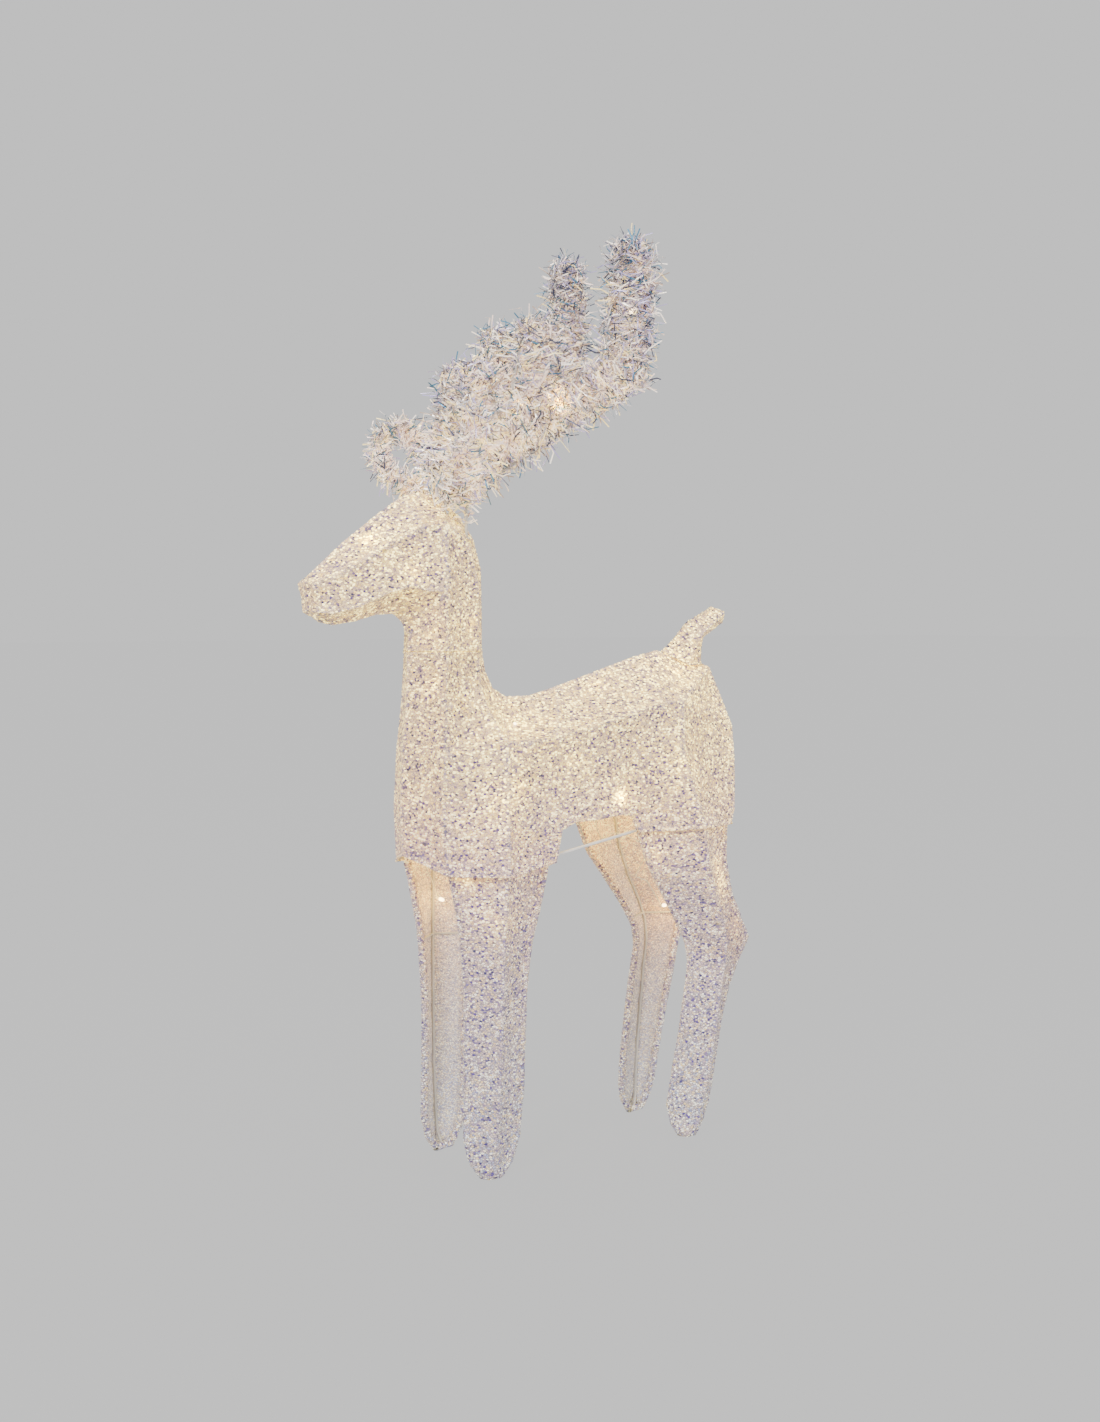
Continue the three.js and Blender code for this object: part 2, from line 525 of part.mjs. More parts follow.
const HIND_SOLE = [[63, 298], [75, 303], [75, 317], [67, 323]];

function legPoints(rows, sole) {
  const p = {};
  rows.forEach(([z, f, g, r], i) => {
    p[`F${i}`] = [f[0], f[1], z]; p[`G${i}`] = [g[0], g[1], z]; p[`R${i}`] = [r[0], r[1], z];
  });
  sole.forEach(([x, y], i) => { p[`Z${i}`] = [x, y, 0]; });
  return p;
}

function legFaces(rows) {
  const n = rows.length - 1;
  const f = [];
  for (let i = 0; i < n; i++) {
    f.push([`F${i}`, `G${i}`, `G${i + 1}`, `F${i + 1}`], [`G${i}`, `R${i}`, `R${i + 1}`, `G${i + 1}`]);
  }
  f.push([`F${n}`, `G${n}`, 'Z1', 'Z0'], [`G${n}`, 'Z2', 'Z1'], [`G${n}`, `R${n}`, 'Z3', 'Z2'],
    ['Z0', 'Z1', 'Z2', 'Z3']);
  return f;
}

function legFacets(rows, sole) {
  const mid = (z) => {
    let i = rows.findIndex((r, k) => k < rows.length - 1 && z <= r[0] && z >= rows[k + 1][0]);
    if (i < 0) i = z < 200 ? rows.length - 2 : 0;
    const a = rows[i]; const b = rows[i + 1];
    const t = (z - a[0]) / (b[0] - a[0]);
    const c = (q) => [(q[1][0] + q[3][0]) / 2 - 8, (q[1][1] + q[3][1]) / 2];
    const ca = c(a); const cb = c(b);
    return v3(ca[0] + (cb[0] - ca[0]) * t, ca[1] + (cb[1] - ca[1]) * t, Math.max(z, 12));
  };
  return new Facets(legPoints(rows, sole), legFaces(rows), (m) => mid(m.z), false);
}

const frontLeg = legFacets(FRONT_LEG, FRONT_SOLE);
const hindLeg = legFacets(HIND_LEG, HIND_SOLE);

function frameLeg(leg, rows, prongs, socketZ, crossRow, crossZ) {
  const n = rows.length;
  const w = [];
  const line = (c) => Array.from({ length: n }, (_, i) => leg.inset(`${c}${i}`, WD)).slice(1);
  const edgeIn = (c) => line(c);
  const F = edgeIn('F'); const R = edgeIn('R'); const G = line('G');
  const z0 = leg.inset('Z0', WD); const z3 = leg.inset('Z3', WD);
  const pf = v3(prongs[0][0], prongs[0][1], socketZ - 8); const pr = v3(prongs[1][0], prongs[1][1],
    socketZ - 8);
  const up = (p) => v3(p.x, p.y, socketZ + PRONG - 1);
  w.push(sweep([up(pf), pf, ...F, z0, z3, ...R.slice().reverse(), pr, up(pr)], WIRE_R));
  const bottom = z0.clone().lerp(z3, 0.5);
  const crown = leg.inset('G0', WD + 1.5).setZ(pf.z);
  w.push(sweep([crown, ...G, bottom], WIRE_R));
  w.push(sweep([pf, crown, pr], THIN_R));
  const cross = ['F', 'G', 'R'].map((c) => {
    const a = leg.inset(`${c}${crossRow}`, WD); const b = leg.inset(`${c}${crossRow + 1}`, WD);
    return onWire(a, b, crossZ);
  });
  w.push(sweep(cross, THIN_R));
  return join(w);
}

// ---- antlers ------------------------------------------------------------------------------------
// outlines lie in a plane that splays outwards towards the back: x = 22 + 0.235 (y + 30)
const splay = (y) => 22 + 0.235 * (y + 30);
const inPlane = ([y, z]) => v3(splay(y), y, z);
const ANTLER_OUTLINE = [
  [-38, 804], [-38, 862], [-31, 905], [-22, 945], [-15, 978], [-16, 1003], [-10, 1017], [2, 1023], [13,
    1015], [18, 996],
  [28, 968], [42, 974], [53, 1022], [59, 1066], [69, 1080], [84, 1083], [95, 1073], [101, 1046], [112,
    1014], [136, 1008],
  [158, 1024], [171, 1064], [176, 1112], [182, 1162], [196, 1184], [213, 1183], [226, 1166], [228,
    1130], [222, 1080],
  [212, 1040], [197, 1012], [174, 990], [146, 972], [118, 952], [92, 930], [64, 914], [38, 896], [14,
    878], [-6, 861],
  [-12, 845], [-12, 772],
];
const BROW_LOOP = [
  [21.5, -37, 872], [42, -56, 878], [64, -76, 890], [77, -83, 912], [85, -76, 938], [89, -58, 953], [89,
    -36, 953],
  [86, -20, 938], [78, -12, 912], [64, -10, 890], [44, -10, 880], [27, -11, 868],
];
// garland stations: [y, z, in-plane radius, radius across]
const GARLAND = [
  [[-25, 858, 19, 17], [-15, 896, 30, 24], [22, 922, 33, 25], [70, 948, 35, 25], [118, 980, 36, 26],
    [166, 1006, 37, 26],
    [206, 1034, 34, 24]],
  [[196, 1004, 30, 24], [200, 1050, 38, 26], [201, 1095, 38, 26], [204, 1150, 37, 25],
    [205, 1184, 33, 22], [205, 1200, 22, 15]],
  [[94, 970, 30, 24], [80, 1040, 32, 24], [77, 1076, 30, 22], [77, 1092, 20, 14]],
  [[8, 926, 27, 23], [1, 990, 29, 23], [1, 1018, 27, 20], [2, 1034, 18, 13]],
];
const BROW_R = 17;
const ANTLER_STRING = [
  [23, -25, 846], [25, -20, 880], [30, 4, 912], [42, 54, 938], [54, 106, 972], [66, 160, 1002], [74, 194,
    1042],
  [77, 202, 1096],
];
const ANTLER_BULBS = [[2, [1, 0, 0.2]], [4, [1, -0.1, 0]], [7, [0.3, 0, 1]]];

function ringAt(c, along, ra, rb, sides = 7) {
  const nrm = v3(1, -0.235, 0).normalize();
  const side = along.clone().cross(nrm).normalize();
  const out = [];
  for (let k = 0; k < sides; k++) {
    const a = (2 * Math.PI * (k + 0.5)) / sides;
    out.push(c.clone().addScaledVector(side, ra * Math.cos(a)).addScaledVector(nrm, -rb * Math.sin(a)));
  }
  return out;
}

function garlandChain(st) {
  const c = st.map(([y, z]) => inPlane([y, z]));
  const rings = st.map(([, , ra, rb], i) => {
    const a = c[Math.max(0, i - 1)]; const b = c[Math.min(c.length - 1, i + 1)];
    return ringAt(c[i], b.clone().sub(a).normalize(), ra, rb);
  });
  return loft(rings);
}

function antlerFrame(channel = false) {
  const r = (q) => (channel ? (q + GAP) * 1.42 : q);
  const w = [sweep(ANTLER_OUTLINE.map(inPlane), r(WIRE_R), channel ? 4 : WIRE_SIDES)];
  w.push(sweep(BROW_LOOP.map((p) => v3(...p)), r(THIN_R), channel ? 4 : WIRE_SIDES));
  return join(w);
}

function antlerString(grow = 0) {
  const s = lightString(ANTLER_STRING, ANTLER_BULBS);
  if (!grow) return s;
  const pts = ANTLER_STRING.map((p) => v3(...p));
  pts.unshift(v3(23, -26, 838));
  const parts = [sweep(pts, (CABLE_R + grow) * 1.3, 4)];
  for (const [i, d] of ANTLER_BULBS) {
    const n = v3(...d).normalize();
    const a = v3(...ANTLER_STRING[i]);
    parts.push(hull(bulbPoints(a, n, grow)));
  }
  return join(parts);
}

function antlerGarland() {
  const brow = sweep(BROW_LOOP.map((p) => v3(...p)), BROW_R, 6);
  const all = join([...GARLAND.map(garlandChain), brow]);
  return largest(all.subtract(antlerFrame(true).add(antlerString(0.45))).simplify(0.15));
}

// ---- assembly -----------------------------------------------------------------------------------
const MAT = {
  wire: { name: 'white_painted_wire', color: 0xe9e7e2, roughness: 0.45, metalness: 0.1 },
  skin: { name: 'glitter_knit', color: 0xe6e0e4, roughness: 0.8, metalness: 0.0 },
  tinsel: { name: 'iridescent_tinsel', color: 0xc9ccd2, roughness: 0.3, metalness: 0.9 },
  cable: { name: 'clear_light_string', color: 0xf3ead2, roughness: 0.35, metalness: 0.0 },
  socket: { name: 'white_socket_steel', color: 0xdedcd6, roughness: 0.5, metalness: 0.2 },
  plug: { name: 'white_plastic', color: 0xefefec, roughness: 0.5, metalness: 0.0 },
};
const mats = Object.fromEntries(Object.entries(MAT).map(([k, m]) => [k,
  new THREE.MeshStandardMaterial(m)]));
const group = new THREE.Group();
group.name = 'yard_reindeer';

function geometryOf(m) {
  const g = m.getMesh();
  const geo = new THREE.BufferGeometry();
  const n = g.numProp;
  const pos = new Float32Array((g.vertProperties.length / n) * 3);
  for (let i = 0; i < pos.length / 3; i++) {
    for (let c = 0; c < 3; c++) pos[3 * i + c] = g.vertProperties[n * i + c];
  }
  geo.setAttribute('position', new THREE.BufferAttribute(pos, 3));
  geo.setIndex(new THREE.BufferAttribute(Uint32Array.from(g.triVerts), 1));
  return geo;
}

// Weld near-coincident corners left by the unions and keep the one real body.
function tidy(m) {
  const q = mergeVertices(geometryOf(m.simplify(0.02)), 2e-3);
  const vertProperties = Float32Array.from(q.attributes.position.array);
  return largest(new wasm.Manifold(new wasm.Mesh({ numProp: 3, vertProperties,
    triVerts: Uint32Array.from(q.index.array) })));
}

function put(name, m, mat) {
  const geo = geometryOf(tidy(m));
  geo.computeVertexNormals();
  const mesh = new THREE.Mesh(geo, mats[mat]);
  mesh.name = name;
  group.add(mesh);
}

// the right-hand piece is the exact mirror image of the left one
const pair = (name, m, mat) => {
  put(`${name}_left`, m, mat);
  const left = group.children[group.children.length - 1];
  const geo = left.geometry.clone();
  const pos = geo.attributes.position;
  for (let i = 0; i < pos.count; i++) pos.setX(i, -pos.getX(i));
  const ix = geo.index.array;
  for (let i = 0; i < ix.length; i += 3) [ix[i + 1], ix[i + 2]] = [ix[i + 2], ix[i + 1]];
  geo.computeVertexNormals();
  const right = new THREE.Mesh(geo, mats[mat]);
  right.name = `${name}_right`;
  group.add(right);
};

put('frame_body', frameBody(), 'wire');
put('skin_body', skinBody(), 'skin');
put('side_rail_left', sideRail(1), 'wire');
put('side_rail_right', sideRail(-1), 'wire');
put('light_string_body', lightString(BODY_STRING, BODY_BULBS), 'cable');
put('power_connector', tube(v3(10, 328, 507), v3(10, 296, 499), 8, 1.6, 10), 'plug');
NECK_PRONGS.forEach(([x, y], i) => put(`neck_socket_${['left', 'right', 'back'][i]}`,
  socket(x, y, SEAM_Z - 51), 'socket'));
pair('tail_socket', socket(...TAIL_PRONG, TAIL_SOCKET_Z, TAIL_SOCKET_Z + 34), 'socket');
pair('socket_front_leg_front', socket(...FRONT_PRONGS[0], FRONT_SOCKET_Z), 'socket');
pair('socket_front_leg_rear', socket(...FRONT_PRONGS[1], FRONT_SOCKET_Z), 'socket');
pair('socket_hind_leg_front', socket(...HIND_PRONGS[0], HIND_SOCKET_Z), 'socket');
pair('socket_hind_leg_rear', socket(...HIND_PRONGS[1], HIND_SOCKET_Z), 'socket');
put('frame_head', frameHead(), 'wire');
put('skin_head', skinHead(), 'skin');
put('light_string_head', lightString(HEAD_STRING, HEAD_BULBS), 'cable');
pair('antler_socket_front', socket(...ANTLER_PRONGS[0], ANTLER_SOCKET_Z[0], ANTLER_SOCKET_Z[0] + 42),
  'socket');
pair('antler_socket_rear', socket(...ANTLER_PRONGS[1], ANTLER_SOCKET_Z[1], ANTLER_SOCKET_Z[1] + 42),
  'socket');
pair('frame_antler', antlerFrame(), 'wire');
pair('tinsel_antler', antlerGarland(), 'tinsel');
pair('light_string_antler', antlerString(), 'cable');
put('frame_tail', frameTail(), 'wire');
put('skin_tail', tail.shell(SKIN_T), 'skin');
pair('frame_front_leg', frameLeg(frontLeg, FRONT_LEG, FRONT_PRONGS, FRONT_SOCKET_Z, 3, 285), 'wire');
pair('skin_front_leg', frontLeg.shell(SKIN_T), 'skin');
pair('light_string_front_leg', lightString(FRONT_STRING, FRONT_BULBS), 'cable');
pair('frame_hind_leg', frameLeg(hindLeg, HIND_LEG, HIND_PRONGS, HIND_SOCKET_Z, 4, 279), 'wire');
pair('skin_hind_leg', hindLeg.shell(SKIN_T), 'skin');
pair('light_string_hind_leg', lightString(HIND_STRING, HIND_BULBS), 'cable');

// centre the footprint on the origin, feet on z = 0, antler tips at the total height
const box = new THREE.Box3().setFromObject(group);
const k = TOTAL_HEIGHT / (box.max.z - box.min.z);
for (const m of group.children) {
  m.geometry.translate(0, -(box.min.y + box.max.y) / 2, -box.min.z);
  if (Math.abs(k - 1) > 0.02) throw new Error('the height has drifted from the total height');
}

export default group;
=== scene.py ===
"""Light-up yard reindeer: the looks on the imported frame.

Metres, +Z up. The reindeer faces -Y and +X is its left side. The frame wires, sockets and the
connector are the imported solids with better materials. Knit covers, hems, tinsel, cables and
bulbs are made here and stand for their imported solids.
"""
import json
import math

import bmesh
import bpy
import numpy as np
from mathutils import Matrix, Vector, noise
from mathutils.bvhtree import BVHTree
from mathutils.kdtree import KDTree

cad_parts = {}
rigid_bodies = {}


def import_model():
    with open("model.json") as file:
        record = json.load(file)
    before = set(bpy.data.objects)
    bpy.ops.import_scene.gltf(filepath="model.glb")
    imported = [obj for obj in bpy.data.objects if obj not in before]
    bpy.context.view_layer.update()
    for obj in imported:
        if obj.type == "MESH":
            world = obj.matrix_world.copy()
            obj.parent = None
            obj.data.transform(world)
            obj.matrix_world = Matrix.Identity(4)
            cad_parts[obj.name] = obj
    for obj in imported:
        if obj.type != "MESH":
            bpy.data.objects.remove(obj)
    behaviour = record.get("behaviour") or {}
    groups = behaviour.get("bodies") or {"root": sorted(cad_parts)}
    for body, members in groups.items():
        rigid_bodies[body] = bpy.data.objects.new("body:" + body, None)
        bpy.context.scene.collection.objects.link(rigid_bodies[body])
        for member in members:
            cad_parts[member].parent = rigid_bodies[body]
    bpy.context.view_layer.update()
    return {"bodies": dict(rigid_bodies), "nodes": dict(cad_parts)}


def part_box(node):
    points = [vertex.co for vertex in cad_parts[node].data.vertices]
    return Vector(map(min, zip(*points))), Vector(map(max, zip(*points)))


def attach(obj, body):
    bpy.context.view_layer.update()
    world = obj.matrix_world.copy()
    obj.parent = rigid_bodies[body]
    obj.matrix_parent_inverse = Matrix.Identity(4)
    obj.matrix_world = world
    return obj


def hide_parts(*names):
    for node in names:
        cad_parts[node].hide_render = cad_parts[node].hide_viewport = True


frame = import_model()
NODES = frame["nodes"]
SIDES = ("left", "right")

# ---- camera, floor and light --------------------------------------------------------------------
CAMERA_AT = (1.785, -1.0805, 0.713)
CAMERA_AZIMUTH = 58.14          # degrees, the camera stands on the left and front of the reindeer
CAMERA_DOWN = 3.47              # degrees below the horizon
FOCAL_OVER_HEIGHT = 1.11744     # focal length over the height of the frame
SENSOR = 36.0                   # mm

FLOOR_GREY = (0.83, 0.83, 0.83)
FLOOR_REACH = 40.0


def place_camera():
    data = bpy.data.cameras.new("camera")
    data.sensor_fit = "VERTICAL"
    data.sensor_height = SENSOR
    data.lens = SENSOR * FOCAL_OVER_HEIGHT
    cam = bpy.data.objects.new("camera", data)
    bpy.context.collection.objects.link(cam)
    az, el = math.radians(CAMERA_AZIMUTH), math.radians(CAMERA_DOWN)
    back = Vector((math.sin(az) * math.cos(el), -math.cos(az) * math.cos(el), math.sin(el)))
    cam.location = CAMERA_AT
    cam.rotation_euler = back.to_track_quat("Z", "Y").to_euler()
    bpy.context.scene.camera = cam


def area_light(name, at, target, size, watts, colour=(1, 1, 1)):
    data = bpy.data.lights.new(name, "AREA")
    data.shape = "DISK"
    data.size = size
    data.energy = watts
    data.color = colour
    lamp = bpy.data.objects.new(name, data)
    bpy.context.collection.objects.link(lamp)
    lamp.location = at
    lamp.rotation_euler = (Vector(at) - Vector(target)).to_track_quat("Z", "Y").to_euler()


def studio():
    world = bpy.data.worlds.new("studio")
    bpy.context.scene.world = world
    world.use_nodes = True
    sky = world.node_tree.nodes["Background"]
    sky.inputs["Color"].default_value = (*FLOOR_GREY, 1)
    sky.inputs["Strength"].default_value = 1.0

    mesh = bpy.data.meshes.new("floor")
    r = FLOOR_REACH
    mesh.from_pydata([(-r, -r, 0), (r, -r, 0), (r, r, 0), (-r, r, 0)], [], [(0, 1, 2, 3)])
    floor = bpy.data.objects.new("floor", mesh)
    bpy.context.collection.objects.link(floor)
    m = Shader("floor_paper")
    m.set("Base Color", (0.04, 0.04, 0.04, 1))
    m.set("Roughness", 0.9)
    m.set("Specular IOR Level", 0.0)
    m.set("Emission Color", (*FLOOR_GREY, 1))
    m.set("Emission Strength", 0.94)
    mesh.materials.append(m.material)

    area_light("key", (1.6, -2.4, 2.1), (0, 0, 0.6), 1.2, 95, (1.0, 0.98, 0.96))
    area_light("fill", (2.6, 1.6, 1.4), (0, 0.1, 0.6), 1.4, 38, (0.97, 0.97, 1.0))
    area_light("top", (-0.4, 0.2, 3.2), (0, 0, 0.6), 1.5, 40, (1.0, 0.96, 0.88))


# ---- shader building ----------------------------------------------------------------------------
class Shader:
    """A Principled material with short helpers for the nodes behind it."""

    def __init__(self, name):
        self.material = bpy.data.materials.new(name)
        self.material.use_nodes = True
        self.tree = self.material.node_tree
        self.bsdf = self.tree.nodes["Principled BSDF"]
        self.place = None

    def set(self, socket, value):
        self.bsdf.inputs[socket].default_value = value

    def link(self, source, socket):
        self.tree.links.new(source, self.bsdf.inputs[socket])

    def node(self, kind, inputs=(), **attributes):
        n = self.tree.nodes.new(kind)
        for key, value in attributes.items():
            setattr(n, key, value)
        for key, value in dict(inputs).items():
            if isinstance(value, bpy.types.NodeSocket):
                self.tree.links.new(value, n.inputs[key])
            else:
                n.inputs[key].default_value = value
        return n

    def at(self):
        """Place on the object, in metres."""
        if self.place is None:
            self.place = self.node("ShaderNodeTexCoord").outputs["Object"]
        return self.place

    def math(self, op, a, b=0.0, c=0.0):
        return self.node("ShaderNodeMath", {0: a, 1: b, 2: c}, operation=op).outputs[0]

    def ramp(self, value, stops, smooth=False):
        n = self.node("ShaderNodeValToRGB", {"Fac": value})
        n.color_ramp.interpolation = "B_SPLINE" if smooth else "LINEAR"
        for i, (at, colour) in enumerate(stops):
            e = n.color_ramp.elements[i] if i < 2 else n.color_ramp.elements.new(at)
            e.position = at
            e.color = (*colour, 1)
        return n.outputs["Color"]

    def range(self, value, lo, hi, to_lo, to_hi, kind="LINEAR"):
        n = self.node(
            "ShaderNodeMapRange",
            {"Value": value, "From Min": lo, "From Max": hi, "To Min": to_lo, "To Max": to_hi},
            interpolation_type=kind,
        )
        return n.outputs["Result"]

    def mix(self, share, a, b, blend="MIX"):
        n = self.node("ShaderNodeMix", data_type="RGBA", blend_type=blend)
        for index, value in ((0, share), (6, a), (7, b)):
            if isinstance(value, bpy.types.NodeSocket):
                self.tree.links.new(value, n.inputs[index])
            elif index:
                n.inputs[index].default_value = (*value, 1)
            else:
                n.inputs[index].default_value = value
        return n.outputs[2]

    def bump(self, height, strength, distance):
        n = self.node("ShaderNodeBump", {"Height": height, "Strength": strength, "Distance": distance})
        self.link(n.outputs["Normal"], "Normal")


# LEDs that show through each cover: x, y, z, core brightness, halo brightness, and the distance at
# which the halo is down to a quarter
GLOWS = {
    "body": [
        (0.050, -0.052, 0.577, 0.6, 0.55, 0.055), (0.090, 0.177, 0.516, 0.5, 0.30, 0.040),
        (0.090, 0.084, 0.475, 6.0, 0.45, 0.034), (0.030, 0.214, 0.640, 3.5, 0.70, 0.045),
        (0.020, 0.086, 0.621, 0.9, 0.30, 0.030), (0.090, -0.098, 0.480, 0.7, 0.30, 0.030),
        (0.090, -0.072, 0.501, 0.7, 0.25, 0.026), (0.090, 0.008, 0.526, 0.8, 0.25, 0.028),
        (0.045, -0.182, 0.630, 0.8, 0.25, 0.024), (-0.080, 0.012, 0.523, 0.8, 0.30, 0.035),
        (-0.078, -0.098, 0.486, 0.8, 0.30, 0.035), (-0.080, 0.165, 0.515, 0.8, 0.30, 0.035),
        (0.0, 0.290, 0.560, 0.4, 0.35, 0.060),
    ],
    "head": [
        (0.020, -0.245, 0.808, 5.0, 0.65, 0.030), (0.045, -0.196, 0.766, 1.4, 0.40, 0.026),
        (0.035, -0.109, 0.701, 0.8, 0.30, 0.026), (-0.035, -0.196, 0.766, 1.4, 0.40, 0.026),
        (-0.045, -0.150, 0.770, 0.8, 0.3, 0.028), (0.045, -0.180, 0.690, 0.5, 0.2, 0.024),
    ],
    "tail": [(0.015, 0.225, 0.655, 1.0, 0.6, 0.030)],
    "front_leg": [(0.074, -0.140, 0.392, 1.0, 0.5, 0.026), (0.080, -0.098, 0.333, 0.3, 0.2, 0.032)],
    "hind_leg": [
        (0.090, 0.140, 0.392, 0.8, 0.4, 0.024), (0.090, 0.244, 0.367, 0.5, 0.9, 0.022),
        (0.090, 0.244, 0.340, 0.5, 0.9, 0.020), (0.080, 0.271, 0.284, 0.2, 0.1, 0.030),
    ],
}
WARM = (1.0, 0.80, 0.08)
SPOT_REACH = 0.017              # how far the bright spot right over a bulb goes
GLOW_GAIN = 2.2


def glow(m, leds):
    """Light of the bulbs behind the cover, as emission that falls off from each bulb."""
    total = None
    for at, core, halo, reach in leds:
        away = m.node("ShaderNodeVectorMath", {0: m.at(), 1: tuple(at)}, operation="DISTANCE")
        d = away.outputs["Value"]
        spot = m.math("POWER", m.range(d, 0.0, SPOT_REACH, 1.0, 0.0), 1.8)
        ring = m.math("POWER", m.range(d, 0.0, reach * 2.0, 1.0, 0.0), 2.0)
        spot = m.math("MULTIPLY", spot, core * GLOW_GAIN)
        both = m.math("MULTIPLY_ADD", ring, halo * GLOW_GAIN, spot)
        total = both if total is None else m.math("ADD", total, both)
    return total


STITCH_TURN = (0.5, 0.35, 0.2)  # turns the rows of stitches off the axes
STITCH_STRETCH = (1.0, 1.0, 1.4)
YARNS = [                       # a stitch's random value from 0 to 1, and its yarn's colour there
    (0.0, (0.20, 0.17, 0.30)), (0.10, (0.30, 0.27, 0.46)), (0.24, (0.62, 0.53, 0.56)),
    (0.50, (0.78, 0.68, 0.62)), (0.70, (0.90, 0.74, 0.46)), (0.84, (1.0, 1.0, 1.0)),
]
YARN_MIDDLE, YARN_LEVEL = 0.74, 0.78    # contrast is spread round the one and centred on the other
BULB_LIGHT_TINTS = [                       # height above the floor, and what the yarn is multiplied with there: painted light, warm at the body's height where its bulbs shine, bluer low on the legs
    (0.02, (1.07, 1.08, 1.11)), (0.22, (1.10, 1.04, 1.10)), (0.40, (1.14, 1.00, 1.02)),
    (0.52, (1.02, 0.96, 0.86)),
]
BLUE_YARN = (0.58, 0.66, 1.0)
FOLD_YARN = (0.66, 0.60, 0.92)
# brown that the yarn is multiplied with as painted shade where the cover faces forwards or back
SHADE_BROWN = (0.80, 0.58, 0.48)
GAP_COLOUR = (0.26, 0.22, 0.34)


def knit(name, leds=(), cell=300.0, contrast=1.55):
    """Open knit of white and iridescent metallic yarn: stitches, gaps and glitter, lit from inside.

    The mesh brings up to three values at each corner, and a missing one counts as 0: lit, the light of
    the bulbs behind it, fold, how close a fold over a wire is, and the painted shade where the cover
    faces forwards or back, drawn as browner thread.
    """
    m = Shader(name)

    def value(attribute):
        return m.node("ShaderNodeAttribute", attribute_name=attribute).outputs["Fac"]

    turned = m.node("ShaderNodeMapping",
                    {"Vector": m.at(), "Rotation": STITCH_TURN, "Scale": STITCH_STRETCH})
    stitch = {"Vector": turned.outputs["Vector"], "Scale": cell, "Randomness": 1.0}
    cells = m.node("ShaderNodeTexVoronoi", stitch, feature="F1")
    gaps = m.node("ShaderNodeTexVoronoi", stitch, feature="DISTANCE_TO_EDGE")
    pick = m.node("ShaderNodeSeparateColor", {"Color": cells.outputs["Color"]})

    def tone(colour):
        return tuple(max(0.02, YARN_LEVEL + (c - YARN_MIDDLE) * contrast) for c in colour)

    yarn = m.ramp(pick.outputs[0], [(share, tone(colour)) for share, colour in YARNS])
    height = m.node("ShaderNodeSeparateXYZ", {"Vector": m.at()}).outputs["Z"]
    # painted light: the yarn is warmer where the body's bulbs shine and bluer low on the legs
    yarn = m.mix(1.0, yarn, m.ramp(height, BULB_LIGHT_TINTS), "MULTIPLY")
    low = m.range(height, 0.02, 0.30, 1.0, 0.0, "SMOOTHSTEP")
    blue = m.math("MULTIPLY", low, m.range(pick.outputs[2], 0.70, 0.72, 0.0, 0.75))
    yarn = m.mix(blue, yarn, BLUE_YARN)
    yarn = m.mix(m.math("MULTIPLY", value("fold"), 0.30), yarn, FOLD_YARN)
    # painted shade: darker, browner thread where the cover faces forwards or back, most at the hocks
    yarn = m.mix(value("ends"), yarn, m.mix(1.0, yarn, SHADE_BROWN, "MULTIPLY"))
    gap = m.range(gaps.outputs["Distance"], 0.02, 0.15, 1.0, 0.0, "SMOOTHSTEP")
    m.link(m.mix(m.math("MULTIPLY", gap, 0.75 * contrast), yarn, GAP_COLOUR), "Base Color")
    m.link(m.range(pick.outputs[1], 0.0, 1.0, 0.3, 0.75), "Roughness")
    m.link(m.range(gap, 0.0, 1.0, 1.0, 0.5), "Alpha")
    m.link(m.range(pick.outputs[2], 0.80, 0.84, 0.0, 0.5), "Metallic")
    m.set("Sheen Weight", 0.3)
    m.set("Sheen Roughness", 0.4)

    # painted glints: the brighter stitches give off more of the light from inside
    sparkle = m.range(pick.outputs[0], 0.66, 0.86, 0.62, 2.5)
    light = m.math("MULTIPLY", value("lit"), sparkle)
    spots = glow(m, leds)
    if spots is not None:
        light = m.math("ADD", light, m.math("MULTIPLY", spots, sparkle))
    thread = m.mix(gap, WARM, tuple(0.45 * c for c in WARM))
    m.link(m.mix(1.0, thread, yarn, "MULTIPLY"), "Emission Color")
    m.link(light, "Emission Strength")
    m.bump(m.math("SUBTRACT", 1.0, cells.outputs["Distance"]), 0.6, 0.0014)
    return m.material


def painted(name, colour, rough=0.4, metal=0.0, grain=900.0):
    """A painted or plastic surface: fine orange peel, with patches that are darker and rougher."""
    m = Shader(name)
    fine, large = {"Scale": grain, "Detail": 2.0}, {"Scale": 40.0, "Detail": 4.0}
    peel = m.node("ShaderNodeTexNoise", {"Vector": m.at(), **fine}).outputs["Fac"]
    patch = m.node("ShaderNodeTexNoise", {"Vector": m.at(), **large}).outputs["Fac"]
    worn = tuple(c * 0.80 for c in colour)
    m.link(m.mix(m.range(patch, 0.35, 0.7, 0.0, 1.0), colour, worn), "Base Color")
    m.link(m.range(patch, 0.3, 0.7, rough - 0.08, rough + 0.12), "Roughness")
    m.set("Metallic", metal)
    m.bump(peel, 0.12, 0.0003)
    return m.material


FOIL_METAL = 0.3
FOIL_LIGHT = (1.0, 0.84, 0.66)  # colour of the light that reaches the foil from inside


def foil(name, colour, rough, lit):
    """One colour of foil, lit evenly in place of the bulbs inside the garland."""
    m = Shader(name)
    m.set("Base Color", (*colour, 1))
    m.set("Metallic", FOIL_METAL)
    m.set("Roughness", rough)
    m.set("Emission Color", (*(c * w for c, w in zip(colour, FOIL_LIGHT)), 1))
    m.set("Emission Strength", lit)
    return m.material


